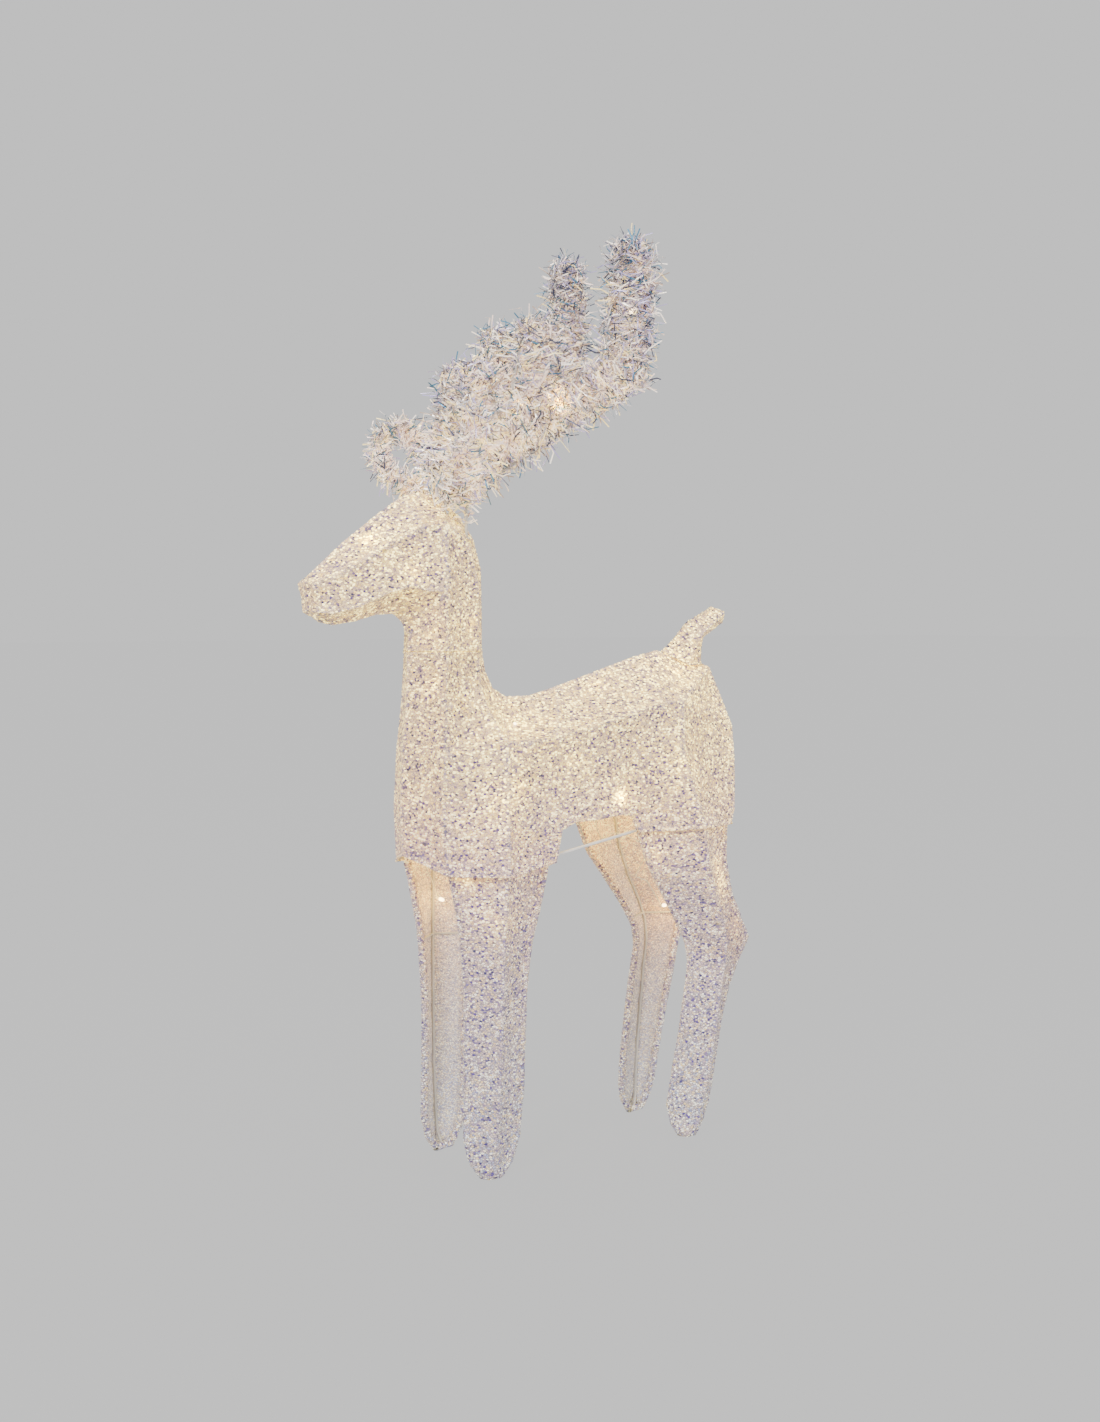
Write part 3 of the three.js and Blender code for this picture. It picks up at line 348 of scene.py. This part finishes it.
def bulb_glass(name, strength):
    """The lit lens of a bulb."""
    m = Shader(name)
    ripple = m.node("ShaderNodeTexNoise", {"Vector": m.at(), "Scale": 500.0}).outputs["Fac"]
    m.link(m.mix(ripple, (1.0, 0.93, 0.78), (1.0, 0.86, 0.62)), "Base Color")
    m.set("Roughness", 0.15)
    m.set("Emission Color", (1.0, 0.82, 0.48, 1))
    m.set("Emission Strength", strength)
    return m.material


# ---- mesh helpers -------------------------------------------------------------------------------
def surface_of(node):
    """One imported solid's surface, to measure distances to."""
    return BVHTree.FromObject(NODES[node], bpy.context.evaluated_depsgraph_get())


def make_object(name, mesh, body, replaces=()):
    obj = bpy.data.objects.new(name, mesh)
    bpy.context.collection.objects.link(obj)
    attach(obj, body)
    if replaces:
        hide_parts(*replaces)
    return obj


def spread_over(start, allowed):
    """Every face of allowed that can be reached from start without leaving it."""
    found, stack = {start}, [start]
    while stack:
        for e in stack.pop().edges:
            for f in e.link_faces:
                if f in allowed and f not in found:
                    found.add(f)
                    stack.append(f)
    return found


WELD = 1e-5
RIM_EDGE = 0.003                # a face with an edge shorter than this may belong to a rim
INSIDE_REACH = 0.012            # a wire within this distance tells which side of a cover is inside
SAME_SIDE = 0.8                 # radians between two faces of the same side


def outer_faces(node):
    """The side of a thin cover that faces away from the wires, without its rims."""
    bm = bmesh.new()
    bm.from_mesh(NODES[node].data)
    bmesh.ops.remove_doubles(bm, verts=bm.verts, dist=WELD)
    bm.faces.ensure_lookup_table()
    wires = surface_of(node.replace("skin_", "frame_"))

    def outwards(group):
        total = 0.0
        for f in group:
            middle = f.calc_center_median()
            wire = wires.find_nearest(middle, INSIDE_REACH)[0]
            if wire is not None:
                total += f.calc_area() * (middle - wire).normalized().dot(f.normal)
        return total

    left = {f for f in bm.faces if min(e.calc_length() for e in f.edges) >= RIM_EDGE}
    groups = []
    for f in bm.faces:
        if f in left:
            groups.append(spread_over(f, left))
            left -= groups[-1]
    inner, outer = sorted(sorted(groups, key=len)[-2:], key=outwards)
    grown = True
    while grown:                    # the small faces round the sockets
        grown = False
        for f in bm.faces:
            if f in inner or f in outer:
                continue
            near = {g for e in f.edges for g in e.link_faces if g is not f}
            flat = {g for g in near if f.normal.angle(g.normal, 2) < SAME_SIDE}
            if flat & outer and not flat & inner:
                outer.add(f)
                grown = True
            elif flat & inner and not flat & outer:
                inner.add(f)
                grown = True
    bmesh.ops.delete(bm, geom=[f for f in bm.faces if f not in outer], context="FACES")
    return bm


OVER_WIRE = 0.0045              # a cover this close to a wire lies on it


def on_wire(node):
    """Tells whether a point of a cover lies over a wire of this frame section."""
    wires = surface_of(node)
    return lambda p: wires.find_nearest(p, OVER_WIRE)[0] is not None


FLAT_ANGLE = math.radians(2)


def crease_points(bm, over_wire, spacing=0.002):
    """Points along every free edge and every fold that a wire makes."""
    points = []
    for e in bm.edges:
        free = len(e.link_faces) < 2
        if not free and e.calc_face_angle(0) < FLAT_ANGLE:
            continue
        a, b = e.verts[0].co, e.verts[1].co
        n = max(1, int((b - a).length / spacing))
        points += [q for q in (a.lerp(b, i / n) for i in range(n + 1)) if free or over_wire(q)]
    tree = KDTree(len(points))
    for i, p in enumerate(points):
        tree.insert(p, i)
    tree.balance()
    return tree


SAG = 0.0035                    # how far stretched knit falls in between two wires
SAG_REACH = 0.020
FOLD_WIDTH = 0.0028             # how far beside a wire the fold shows in the thread
FOLD_ANGLE = math.radians(9)    # a sharper fold over a wire is drawn as an edge
RIPPLE, RIPPLE_SCALE = 0.0006, 55
CLOTH = 0.0010
MOST_SPLITS = 9


def fine_near(bm, creases, fine, coarse):
    """Splits long edges, with shorter ones kept beside the folds."""
    for _ in range(MOST_SPLITS):
        long = []
        for e in bm.edges:
            length = e.calc_length()
            if length <= fine:
                continue
            middle = (e.verts[0].co + e.verts[1].co) / 2
            if length > coarse or creases.find(middle)[2] < 0.8 * length + 0.001:
                long.append(e)
        if not long:
            return
        bmesh.ops.subdivide_edges(bm, edges=long, cuts=1)
        bmesh.ops.triangulate(bm, faces=bm.faces[:])


def bulbs_of(keys, side):
    """Where the bulbs of these strings stand, in metres."""
    sign = -1 if side == "right" else 1
    out = []
    for key in keys:
        route, bulbs = STRINGS[key]
        for i, d in bulbs.items():
            x, y, z = route[i]
            tip = Vector(d).normalized() * BULB_FOOT
            out.append(Vector((sign * (x + tip.x), y + Y0 + tip.y, z + tip.z)) * 0.001)
    return out


DARK_BELOW, LIGHT_HEIGHT = 0.30, 0.24   # the legs get light from the body over this height
BULB_REACH = 0.026
MOST_BULBS = 1.4                # more bulbs than this don't make a place brighter


def inner_light(at, normal, bulbs):
    """How much light reaches the cover from inside: fading down the legs, stronger near a bulb."""
    up = min(1.0, max(0.0, (at.z - DARK_BELOW) / LIGHT_HEIGHT))
    on_top = 0.80 * max(0.0, normal.z)
    behind = 0.12 * min(1.0, max(0.0, at.y / 0.2))
    spread = 0.15 + up * up * (3 - 2 * up) * (0.80 + on_top + behind)
    near = sum(1 / (1 + ((at - b).length / BULB_REACH) ** 2) ** 2 for b in bulbs)
    return spread + 0.60 * min(MOST_BULBS, near)


HOCK_HEIGHT, HOCK_REACH = 0.28, 0.06
HOCK_FROM = 0.22                # the hocks lie behind this y


def painted_facing_shade(at, normal):
    """Painted shade, drawn as browner thread: where the cover faces forwards or back, most at the
    hocks.
    """
    along = min(1.0, max(0.0, (abs(normal.y) - 0.55) / 0.4))
    hock = math.exp(-(((at.z - HOCK_HEIGHT) / HOCK_REACH) ** 2)) if at.y > HOCK_FROM else 0.0
    return along * (0.20 + 0.80 * hock) + 0.5 * hock * (normal.y > 0.2)


FINE, COARSE = 0.0035, 0.010    # longest edge beside a fold and elsewhere


def stretched_cover(node, name, body, materials, bulbs):
    """The knit pulled over its wires, as a sheet that sags in between, and its free edges."""
    bm = outer_faces(node)
    over_wire = on_wire(node.replace("skin_", "frame_"))
    edges = free_loops(bm)
    creases = crease_points(bm, over_wire)
    fine_near(bm, creases, FINE, COARSE)
    bm.normal_update()
    for e in bm.edges:
        folded = e.calc_face_angle(0) > FOLD_ANGLE
        e.smooth = not (folded and over_wire((e.verts[0].co + e.verts[1].co) / 2))
    lit, fold, ends = (bm.verts.layers.float.new(name) for name in ("lit", "fold", "ends"))
    for v in bm.verts:
        d = creases.find(v.co)[2]
        v[fold] = math.exp(-((d / FOLD_WIDTH) ** 2))
        v[lit] = inner_light(v.co, v.normal, bulbs)
        # painted shade where the cover faces forwards or back
        v[ends] = painted_facing_shade(v.co, v.normal)
        fall = SAG * (1 - math.exp(-((d / SAG_REACH) ** 1.5)))
        ripple = RIPPLE * (noise.noise(v.co * RIPPLE_SCALE) + 1) * min(1.0, d / 0.006)
        v.co -= v.normal * (fall + ripple)
    mesh = bpy.data.meshes.new(name)
    bm.to_mesh(mesh)
    bm.free()
    for p in mesh.polygons:
        p.use_smooth = True
    for m in materials:
        mesh.materials.append(m)
    obj = make_object(name, mesh, body, [node])
    thick = obj.modifiers.new("cloth", "SOLIDIFY")
    thick.thickness = CLOTH
    thick.offset = -1
    thick.material_offset = 1
    return obj, edges


def free_loops(bm):
    """Free edges as ordered point lists, closed where they close."""
    free = {e for e in bm.edges if len(e.link_faces) == 1}
    loops = []
    for e in bm.edges:              # in the mesh's own order, so that every run gives the same loops
        if e not in free:
            continue
        free.discard(e)
        chain = [e.verts[0], e.verts[1]]
        grown = True
        while grown:
            grown = False
            for f in chain[-1].link_edges:
                if f in free:
                    free.discard(f)
                    chain.append(f.other_vert(chain[-1]))
                    grown = True
                    break
        loops.append([v.co.copy() for v in chain])
    return loops


def tube_curve(name, path, radius, material, body):
    data = bpy.data.curves.new(name, "CURVE")
    data.dimensions = "3D"
    data.bevel_depth = radius
    data.bevel_resolution = 2
    data.use_fill_caps = True
    spline = data.splines.new("POLY")
    spline.points.add(len(path) - 1)
    for p, co in zip(spline.points, path):
        p.co = (*co, 1)
    data.materials.append(material)
    obj = bpy.data.objects.new(name, data)
    bpy.context.collection.objects.link(obj)
    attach(obj, body)
    return obj


SLACK = 0.28                    # a cable's pull at a point, as share of the span


def smooth_path(points, steps=5):
    """A Hermite spline through the points that hardly leaves the straight runs."""
    pts = [Vector(p) for p in points]
    out = []
    for i in range(len(pts) - 1):
        p0, p1 = pts[max(0, i - 1)], pts[i]
        p2, p3 = pts[i + 1], pts[min(len(pts) - 1, i + 2)]
        span = (p2 - p1).length
        t1 = (p2 - p0).normalized() * span * SLACK
        t2 = (p3 - p1).normalized() * span * SLACK
        for k in range(steps):
            t = k / steps
            h00, h10 = 2 * t**3 - 3 * t**2 + 1, t**3 - 2 * t**2 + t
            h01, h11 = -2 * t**3 + 3 * t**2, t**3 - t**2
            out.append(p1 * h00 + t1 * h10 + p2 * h01 + t2 * h11)
    out.append(pts[-1])
    return out


# ---- covers -------------------------------------------------------------------------------------
# each hem's radius, and how far it lies inside the free edge
HEMS = {
    "body": (0.0019, 0.0006), "head": (0.0016, 0.0006), "tail": (0.0012, 0.0004),
    "leg": (0.0052, 0.0042),
}
HEM_SIDES = 10
HEM_STEP = 0.004
HEM_PUCKER, PUCKER_SCALE = 0.22, 210
SHORTEST_LOOP = 6               # a loop with fewer points isn't an edge that has a hem
SOLE = 0.03                     # below this height a leg's hem is drawn up round the sole


def inside_of(p, along, middle, is_leg):
    """The way from a free edge into its opening, square to the edge."""
    way = middle - p
    if is_leg:
        rise = (0.12 - p.z) * 8 if p.z < SOLE else 0
        way = Vector((-math.copysign(0.6, p.x), (middle.y - p.y) * 30, rise))
    way -= along * way.dot(along)
    return way.normalized() if way.length > 1e-6 else Vector((0, 0, 1))


def hem(name, node, key, loops, material, body, bulbs):
    """The knit rolled round the edge wire and stitched: a plump, uneven band along each free edge."""
    radius, inward = HEMS[key]
    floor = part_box(node)[0][2]
    verts, faces = [], []
    for loop in loops:
        if len(loop) < SHORTEST_LOOP:
            continue
        closed = (loop[0] - loop[-1]).length < WELD
        ring = loop[:-1] if closed else loop
        n = len(ring)
        dense = []
        for i in range(n if closed else n - 1):
            a, b = ring[i], ring[(i + 1) % n]
            k = max(1, int((b - a).length / HEM_STEP))
            dense += [a.lerp(b, j / k) for j in range(k)]
        middle = sum(dense, Vector()) / len(dense)
        count = len(dense)
        first = len(verts)
        for i, p in enumerate(dense):
            along = (dense[(i + 2) % count] - dense[i - 2]).normalized()
            u = along.orthogonal().normalized()
            w = along.cross(u)
            c = p + inside_of(p, along, middle, key == "leg") * inward
            for k in range(HEM_SIDES):
                a = 2 * math.pi * k / HEM_SIDES
                out = u * math.cos(a) + w * math.sin(a)
                r = radius * (1 + HEM_PUCKER * noise.noise((p + out * HEM_STEP) * PUCKER_SCALE))
                q = c + out * r
                q.z = max(q.z, floor)
                verts.append(q)
        for i in range(count):
            here, there = first + i * HEM_SIDES, first + (i + 1) % count * HEM_SIDES
            for k in range(HEM_SIDES):
                m = (k + 1) % HEM_SIDES
                faces.append((here + k, here + m, there + m, there + k))
    mesh = bpy.data.meshes.new(name)
    mesh.from_pydata(verts, [], faces)
    bm = bmesh.new()
    bm.from_mesh(mesh)
    bmesh.ops.recalc_face_normals(bm, faces=bm.faces)
    bm.normal_update()
    lit = bm.verts.layers.float.new("lit")
    for v in bm.verts:
        v[lit] = inner_light(v.co, v.normal, bulbs)
    bm.to_mesh(mesh)
    bm.free()
    for p in mesh.polygons:
        p.use_smooth = True
    mesh.materials.append(material)
    return make_object(name, mesh, body)


def brought_to_cover(node, leds, mirrored):
    """Each bulb's light centred where the cover is closest to the bulb."""
    skin = surface_of(node)
    sign = -1 if mirrored else 1
    return [(skin.find_nearest(Vector((sign * x, y, z)))[0], *light) for x, y, z, *light in leds]


def covers():
    plan = [(name, name, None) for name in ("body", "head", "tail")]
    for side in SIDES:
        plan += [(f"{leg}_{side}", leg, side) for leg in ("front_leg", "hind_leg")]
    band = knit("hem_knit", cell=310.0, contrast=1.3)
    reverse = knit("knit_reverse", cell=450.0, contrast=0.75)
    for name, key, side in plan:
        bulbs = bulbs_of(["body" if key == "tail" else key], side)
        if key.endswith("leg"):
            bulbs += bulbs_of(["body"], None)
        skin = f"skin_{name}"
        face = knit(f"knit_{name}", brought_to_cover(skin, GLOWS[key], side == "right"))
        obj, edges = stretched_cover(skin, f"knit_{name}", name, (face, reverse), bulbs)
        size = "leg" if key.endswith("leg") else key
        edge = hem(f"hem_{name}", skin, size, edges, band, name, bulbs)


# ---- tinsel -------------------------------------------------------------------------------------
FOILS = [
    # name, colour, roughness, light from inside, share at the base, share at the tips
    ("foil_white", (1.0, 0.97, 0.92), 0.30, 1.00, 0.26, 0.20),
    ("foil_silver", (0.66, 0.63, 0.66), 0.28, 0.12, 0.12, 0.15),
    ("foil_lilac", (0.56, 0.50, 0.82), 0.30, 0.12, 0.10, 0.17),
    ("foil_gold", (1.0, 0.86, 0.42), 0.30, 1.00, 0.20, 0.10),
    ("foil_copper", (0.52, 0.40, 0.32), 0.35, 0.16, 0.12, 0.18),
    ("foil_pink", (1.0, 0.82, 0.74), 0.35, 0.55, 0.16, 0.14),
    ("foil_teal", (0.08, 0.24, 0.38), 0.35, 0.0, 0.04, 0.13),
    ("foil_slate", (0.06, 0.07, 0.13), 0.35, 0.0, 0.02, 0.12),
]
EDGE_FOILS = (1, 4, 6, 7, 7, 2)    # what the stray strips at the outline are made of
STRIPS = 9500                   # over the garland
WIRE_STRIPS = 2200              # along the wires, where the garland is bound on
WOUND_FROM = 0.828              # height on the head where the winding starts
WOUND_THICK_BELOW = 0.875       # height on the antler foot where the winding gets thin
WOUND_THICK, WOUND_THIN = 0.013, 0.004
CHANNEL = 0.009                 # how far the wall of the wire's channel is from the wire
STRIP_WIDTH = 0.0018
STRIP_LENGTH = (0.018, 0.028)
STRIP_BEND = 0.003
STRIP_TWIST = 1.2               # radians
STRAY_SHARE = 0.13
STRAY_PAST, STRIP_PAST = (0.000, 0.010), (-0.013, -0.002)   # where the tips end, from the envelope
HIGHEST_TIP = 1.204
TIPS_FROM, TIPS_HEIGHT = 0.90, 0.20     # the colours change from the base's to the tips' over this
SEED = 7


def triangles_of(node):
    """Corners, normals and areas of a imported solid's triangles."""
    mesh = NODES[node].data
    mesh.calc_loop_triangles()
    tris = mesh.loop_triangles
    corners = np.array([[mesh.vertices[i].co[:] for i in t.vertices] for t in tris])
    return corners, np.array([t.normal[:] for t in tris]), np.array([t.area for t in tris])


def place_in(triangle, rng):
    """An even random place in a triangle."""
    a, b = rng.random(2)
    if a + b > 1:
        a, b = 1 - a, 1 - b
    return triangle[0] + a * (triangle[1] - triangle[0]) + b * (triangle[2] - triangle[0])


def along_garland(side, rng):
    """Random places on the garland envelope with their normals, away from the wire channel."""
    wires = surface_of(f"frame_antler_{side}")
    tris, normals, areas = triangles_of(f"tinsel_antler_{side}")
    out = []
    for i in rng.choice(len(tris), size=STRIPS * 2, p=areas / areas.sum()):
        p = place_in(tris[i], rng)
        wire, _, _, near = wires.find_nearest(Vector(p))
        if near < CHANNEL and (wire - Vector(p)).dot(Vector(normals[i])) > 0.3 * near:
            continue                      # the wall of the channel round the wire
        out.append((p, normals[i]))
        if len(out) == STRIPS:
            break
    return out


def along_wires(side, rng):
    """Places all round the antler wire, further out at the foot, where the garland is wound most."""
    tris, normals, areas = triangles_of(f"frame_antler_{side}")
    shares = areas * (tris[:, :, 2].max(axis=1) > WOUND_FROM)
    out = []
    for i in rng.choice(len(tris), size=WIRE_STRIPS, p=shares / shares.sum()):
        p = place_in(tris[i], rng)
        if p[2] >= WOUND_FROM:
            thick = WOUND_THICK if p[2] < WOUND_THICK_BELOW else WOUND_THIN
            out.append((p + normals[i] * thick, normals[i]))
    return out


def foil_at(height, stray, past, rng):
    """Which foil a strip is cut from: the outline has its own colours, and the tips are darker."""
    if rng.random() < (0.9 if stray else 0.35 * (past > -0.005)):
        return int(rng.choice(EDGE_FOILS))
    high = min(1.6, max(0.0, (height - TIPS_FROM) / TIPS_HEIGHT))
    shares = np.array([max(0.02, f[4] * (1 - high) + f[5] * high) for f in FOILS])
    return rng.choice(len(FOILS), p=shares / shares.sum())


def tinsel(side, materials):
    """Cut foil strips that stand out from the garland core, denser inside and ragged at the outline.

    The strips are laid on the left antler, and the right antler has the same ones mirrored.
    """
    rng = np.random.default_rng(SEED)
    verts, faces, picks = [], [], []
    sign = 1 if side == "left" else -1
    for p, n in along_garland("left", rng) + along_wires("left", rng):
        stray = rng.random() < STRAY_SHARE
        out = n + rng.normal(0, 0.25 if stray else 0.50, 3)
        out /= np.linalg.norm(out)
        across = np.cross(out, rng.normal(0, 1, 3))
        across /= np.linalg.norm(across)
        length = rng.uniform(*STRIP_LENGTH)
        bend = rng.normal(0, STRIP_BEND, 3)
        past = rng.uniform(*(STRAY_PAST if stray else STRIP_PAST))
        tip = p + n * past
        if tip[2] > HIGHEST_TIP:
            tip = tip - n * (tip[2] - HIGHEST_TIP)
        root = tip - out * length
        half = STRIP_WIDTH * (rng.uniform(0.35, 0.6) if stray else rng.uniform(0.7, 1.15)) * 0.5
        twist = rng.uniform(-STRIP_TWIST, STRIP_TWIST)
        first = len(verts)
        for k in range(3):
            t = k / 2
            c = root + (tip - root) * t + bend * math.sin(math.pi * t)
            w = across * math.cos(twist * t) + np.cross(out, across) * math.sin(twist * t)
            for s in (-half, half):
                q = c + w * s
                verts.append((sign * q[0], q[1], q[2]))
            if k:
                i = first + 2 * k
                faces.append((i - 2, i - 1, i + 1, i))
        picks += [foil_at(p[2], stray, past, rng)] * 2
    mesh = bpy.data.meshes.new(f"tinsel_{side}")
    mesh.from_pydata(verts, [], faces)
    for m in materials:
        mesh.materials.append(m)
    mesh.polygons.foreach_set("material_index", picks)
    make_object(f"tinsel_{side}", mesh, f"antler_{side}", [f"tinsel_antler_{side}"])


# ---- light strings ------------------------------------------------------------------------------
Y0 = -99.5                      # the routes are laid out from the middle of the front legs
# routes in mm: x, y, z; bulbs: route point and the way the lens points
STRINGS = {
    "body": (
        [(20, -30, 642), (32, -58, 628), (42, -44, 590), (56, -20, 564), (60, 20, 560),
         (46, 46, 566), (20, 90, 585), (10, 150, 595), (16, 184, 606), (36, 240, 600),
         (20, 286, 626), (26, 306, 622), (50, 292, 570), (76, 268, 516), (58, 236, 512),
         (78, 184, 478), (60, 150, 520), (78, 108, 522), (60, 60, 520), (76, 26, 500),
         (62, 8, 500), (82, 0, 478), (56, -20, 462), (0, -60, 480), (-56, -20, 470), (-80, 2, 486),
         (-66, 60, 520), (-76, 110, 522), (-60, 160, 540), (-76, 200, 500), (-76, 262, 515),
         (-40, 320, 540), (-6, 372, 560), (10, 332, 508)],
        {1: (0, 0, -1), 5: (0.2, 0, 1), 8: (0, 0.3, 1), 11: (0, 1, 0.2), 13: (0.2, 0, -1),
         15: (0.1, 0.4, -1), 17: (0, 0.4, -1), 19: (0.1, 0, -1), 21: (0.1, 0, -1), 23: (0, -1, 0),
         25: (0, 0, -1), 27: (0, 0, -1), 29: (0, 0, -1), 30: (0, 0, -1), 32: (0, 0.2, -1)},
    ),
    "head": (
        [(10, -40, 684), (18, -12, 700), (24, -40, 712), (34, -58, 696), (30, -60, 730),
         (34, -92, 764), (14, -116, 776), (12, -136, 798), (0, -170, 752), (-14, -150, 760),
         (-32, -96, 764), (-30, -50, 770), (-18, -14, 740), (-4, -26, 800)],
        {1: (0, 0, -1), 3: (0, 0, -1), 5: (0, 0.3, -1), 7: (0, 0.6, -0.5), 8: (0, 0.3, -1),
         10: (0, 0.3, -1), 12: (0, 0, -1), 13: (0, 0, 1)},
    ),
    "front_leg": (
        [(70, 24, 450), (76, 20, 428), (80, 0, 412), (70, -26, 408), (68, -33, 402), (78, -8, 360),
         (78, 0, 336)],
        {4: (0.1, 0.3, 1), 6: (-0.6, 0.4, -0.2)},
    ),
    "hind_leg": (
        [(74, 250, 456), (72, 250, 414), (76, 262, 396), (82, 284, 402), (84, 305, 398),
         (79, 330, 386), (80, 338, 362), (84, 326, 336), (82, 344, 328), (80, 360, 304),
         (78, 368, 290)],
        {0: (0, 0.1, 1), 10: (-1, 0.1, 0.2)},
    ),
    "antler": (
        [(23, -25, 846), (25, -20, 880), (30, 4, 912), (42, 54, 938), (54, 106, 972),
         (66, 160, 1002), (74, 194, 1042), (77, 202, 1096)],
        {2: (1, 0, 0.2), 4: (1, -0.1, 0), 7: (0.3, 0, 1)},
    ),
}
BULB_FOOT = 6                   # mm from the cable to the middle of the lens
CABLE_RADIUS = 0.0009
# sleeve and lens profiles: distance along the bulb and radius, in mm
SLEEVE = [(-3.5, 1.0), (-3.0, 1.9), (-1.0, 2.3), (3.0, 2.4), (3.6, 2.0)]
LENS = [(3.2, 1.9), (3.8, 2.5), (7.0, 2.5), (9.0, 2.1), (10.2, 1.2), (10.6, 0.2)]


def lathe(at, along, profile, sides=10):
    """Rings of a turned shape and its faces, from one end to the other."""
    u = along.orthogonal().normalized()
    w = along.cross(u)
    verts, faces = [], []
    for h, r in profile:
        for k in range(sides):
            a = 2 * math.pi * k / sides
            verts.append(at + along * h + (u * math.cos(a) + w * math.sin(a)) * r)
    for i in range(len(profile) - 1):
        for k in range(sides):
            j = (k + 1) % sides
            faces.append((i * sides + k, i * sides + j, (i + 1) * sides + j, (i + 1) * sides + k))
    faces.append(tuple(range(sides))[::-1])
    faces.append(tuple((len(profile) - 1) * sides + k for k in range(sides)))
    return verts, faces


def light_string(key, side, body, cable, sleeve, lens):
    """One section's cable and its bulbs."""
    route, bulbs = STRINGS[key]
    sign = -1 if side == "right" else 1
    suffix = f"{key}_{side}" if side else key
    mm = [Vector((sign * x, y + Y0, z)) for x, y, z in route]
    path = [p * 0.001 for p in smooth_path(mm)]
    wire = tube_curve(f"cable_{suffix}", path, CABLE_RADIUS, cable, body)
    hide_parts(f"light_string_{suffix}")
    verts, faces, picks = [], [], []
    for i, d in bulbs.items():
        along = Vector((sign * d[0], d[1], d[2])).normalized()
        for profile, pick in ((SLEEVE, 0), (LENS, 1)):
            v, f = lathe(mm[i], along, profile)
            n = len(verts)
            verts += [p * 0.001 for p in v]
            faces += [tuple(n + j for j in q) for q in f]
            picks += [pick] * len(f)
    mesh = bpy.data.meshes.new(f"bulbs_{suffix}")
    mesh.from_pydata(verts, [], faces)
    mesh.materials.append(sleeve)
    mesh.materials.append(lens)
    mesh.polygons.foreach_set("material_index", picks)
    for p in mesh.polygons:
        p.use_smooth = True
    make_object(f"bulbs_{suffix}", mesh, body)


def strings():
    cable = painted("clear_cable", (0.80, 0.78, 0.70), 0.25)
    sleeve = painted("clear_sleeve", (0.88, 0.86, 0.78), 0.2)
    lens = bulb_glass("lit_lens", 9.0)
    for name in ("body", "head"):
        light_string(name, None, name, cable, sleeve, lens)
    for side in SIDES:
        for key in ("front_leg", "hind_leg", "antler"):
            light_string(key, side, f"{key}_{side}", cable, sleeve, lens)


LAMP_COLOUR = (1.0, 0.60, 0.06)
LAMP_RADIUS = 0.012
# the left side's lamps: name, the body that each rides on, place, power; the top ones stand for light
# from the body's bulbs
LAMPS = [
    ("front_leg", "front_leg", (0.070, -0.099, 0.334), 0.06),
    ("hind_leg", "hind_leg", (0.066, 0.270, 0.288), 0.06),
    ("top_front", "front_leg", (0.045, -0.09, 0.415), 0.10),
    ("antler", "antler", (0.055, 0.0065, 0.981), 0.5),
    ("top_hind", "hind_leg", (0.045, 0.19, 0.43), 0.14),
]


def lamps():
    """Small warm lamps inside the legs and antlers, for light that the bulbs' emission can't give."""
    for side in SIDES:
        sign = 1 if side == "left" else -1
        for name, rides_on, (x, y, z), watts in LAMPS:
            body = frame["bodies"][f"{rides_on}_{side}"]
            data = bpy.data.lights.new(f"glow_{name}_{side}", "POINT")
            data.energy = watts
            data.color = LAMP_COLOUR
            data.shadow_soft_size = LAMP_RADIUS
            lamp = bpy.data.objects.new(f"glow_{name}_{side}", data)
            bpy.context.collection.objects.link(lamp)
            lamp.location = (sign * x, y, z)
            lamp.parent = body
            lamp.matrix_parent_inverse = body.matrix_world.inverted()


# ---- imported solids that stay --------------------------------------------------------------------
def dress_frame():
    # the frame wires have the rails' white powder coat, painted darker as the shade they lie in inside
    # the covers
    wire = painted("powder_coat", (0.60, 0.58, 0.54), 0.42)
    rail = painted("white_powder_coat", (0.90, 0.87, 0.84), 0.38)
    tube = painted("white_socket_tube", (0.80, 0.80, 0.78), 0.42, 0.1)
    plastic = painted("white_plastic", (0.88, 0.88, 0.87), 0.5, 0.0, 1500.0)
    for name, node in NODES.items():
        if name.startswith("side_rail"):
            material = rail
        elif name.startswith("frame_"):
            material = wire
        elif "socket" in name:
            material = tube
        elif name == "power_connector":
            material = plastic
        else:
            continue
        for s in node.material_slots:
            s.material = material


place_camera()
studio()
dress_frame()
strings()
lamps()
covers()
foils = [foil(name, colour, rough, lit) for name, colour, rough, lit, _, _ in FOILS]
for s in SIDES:
    tinsel(s, foils)
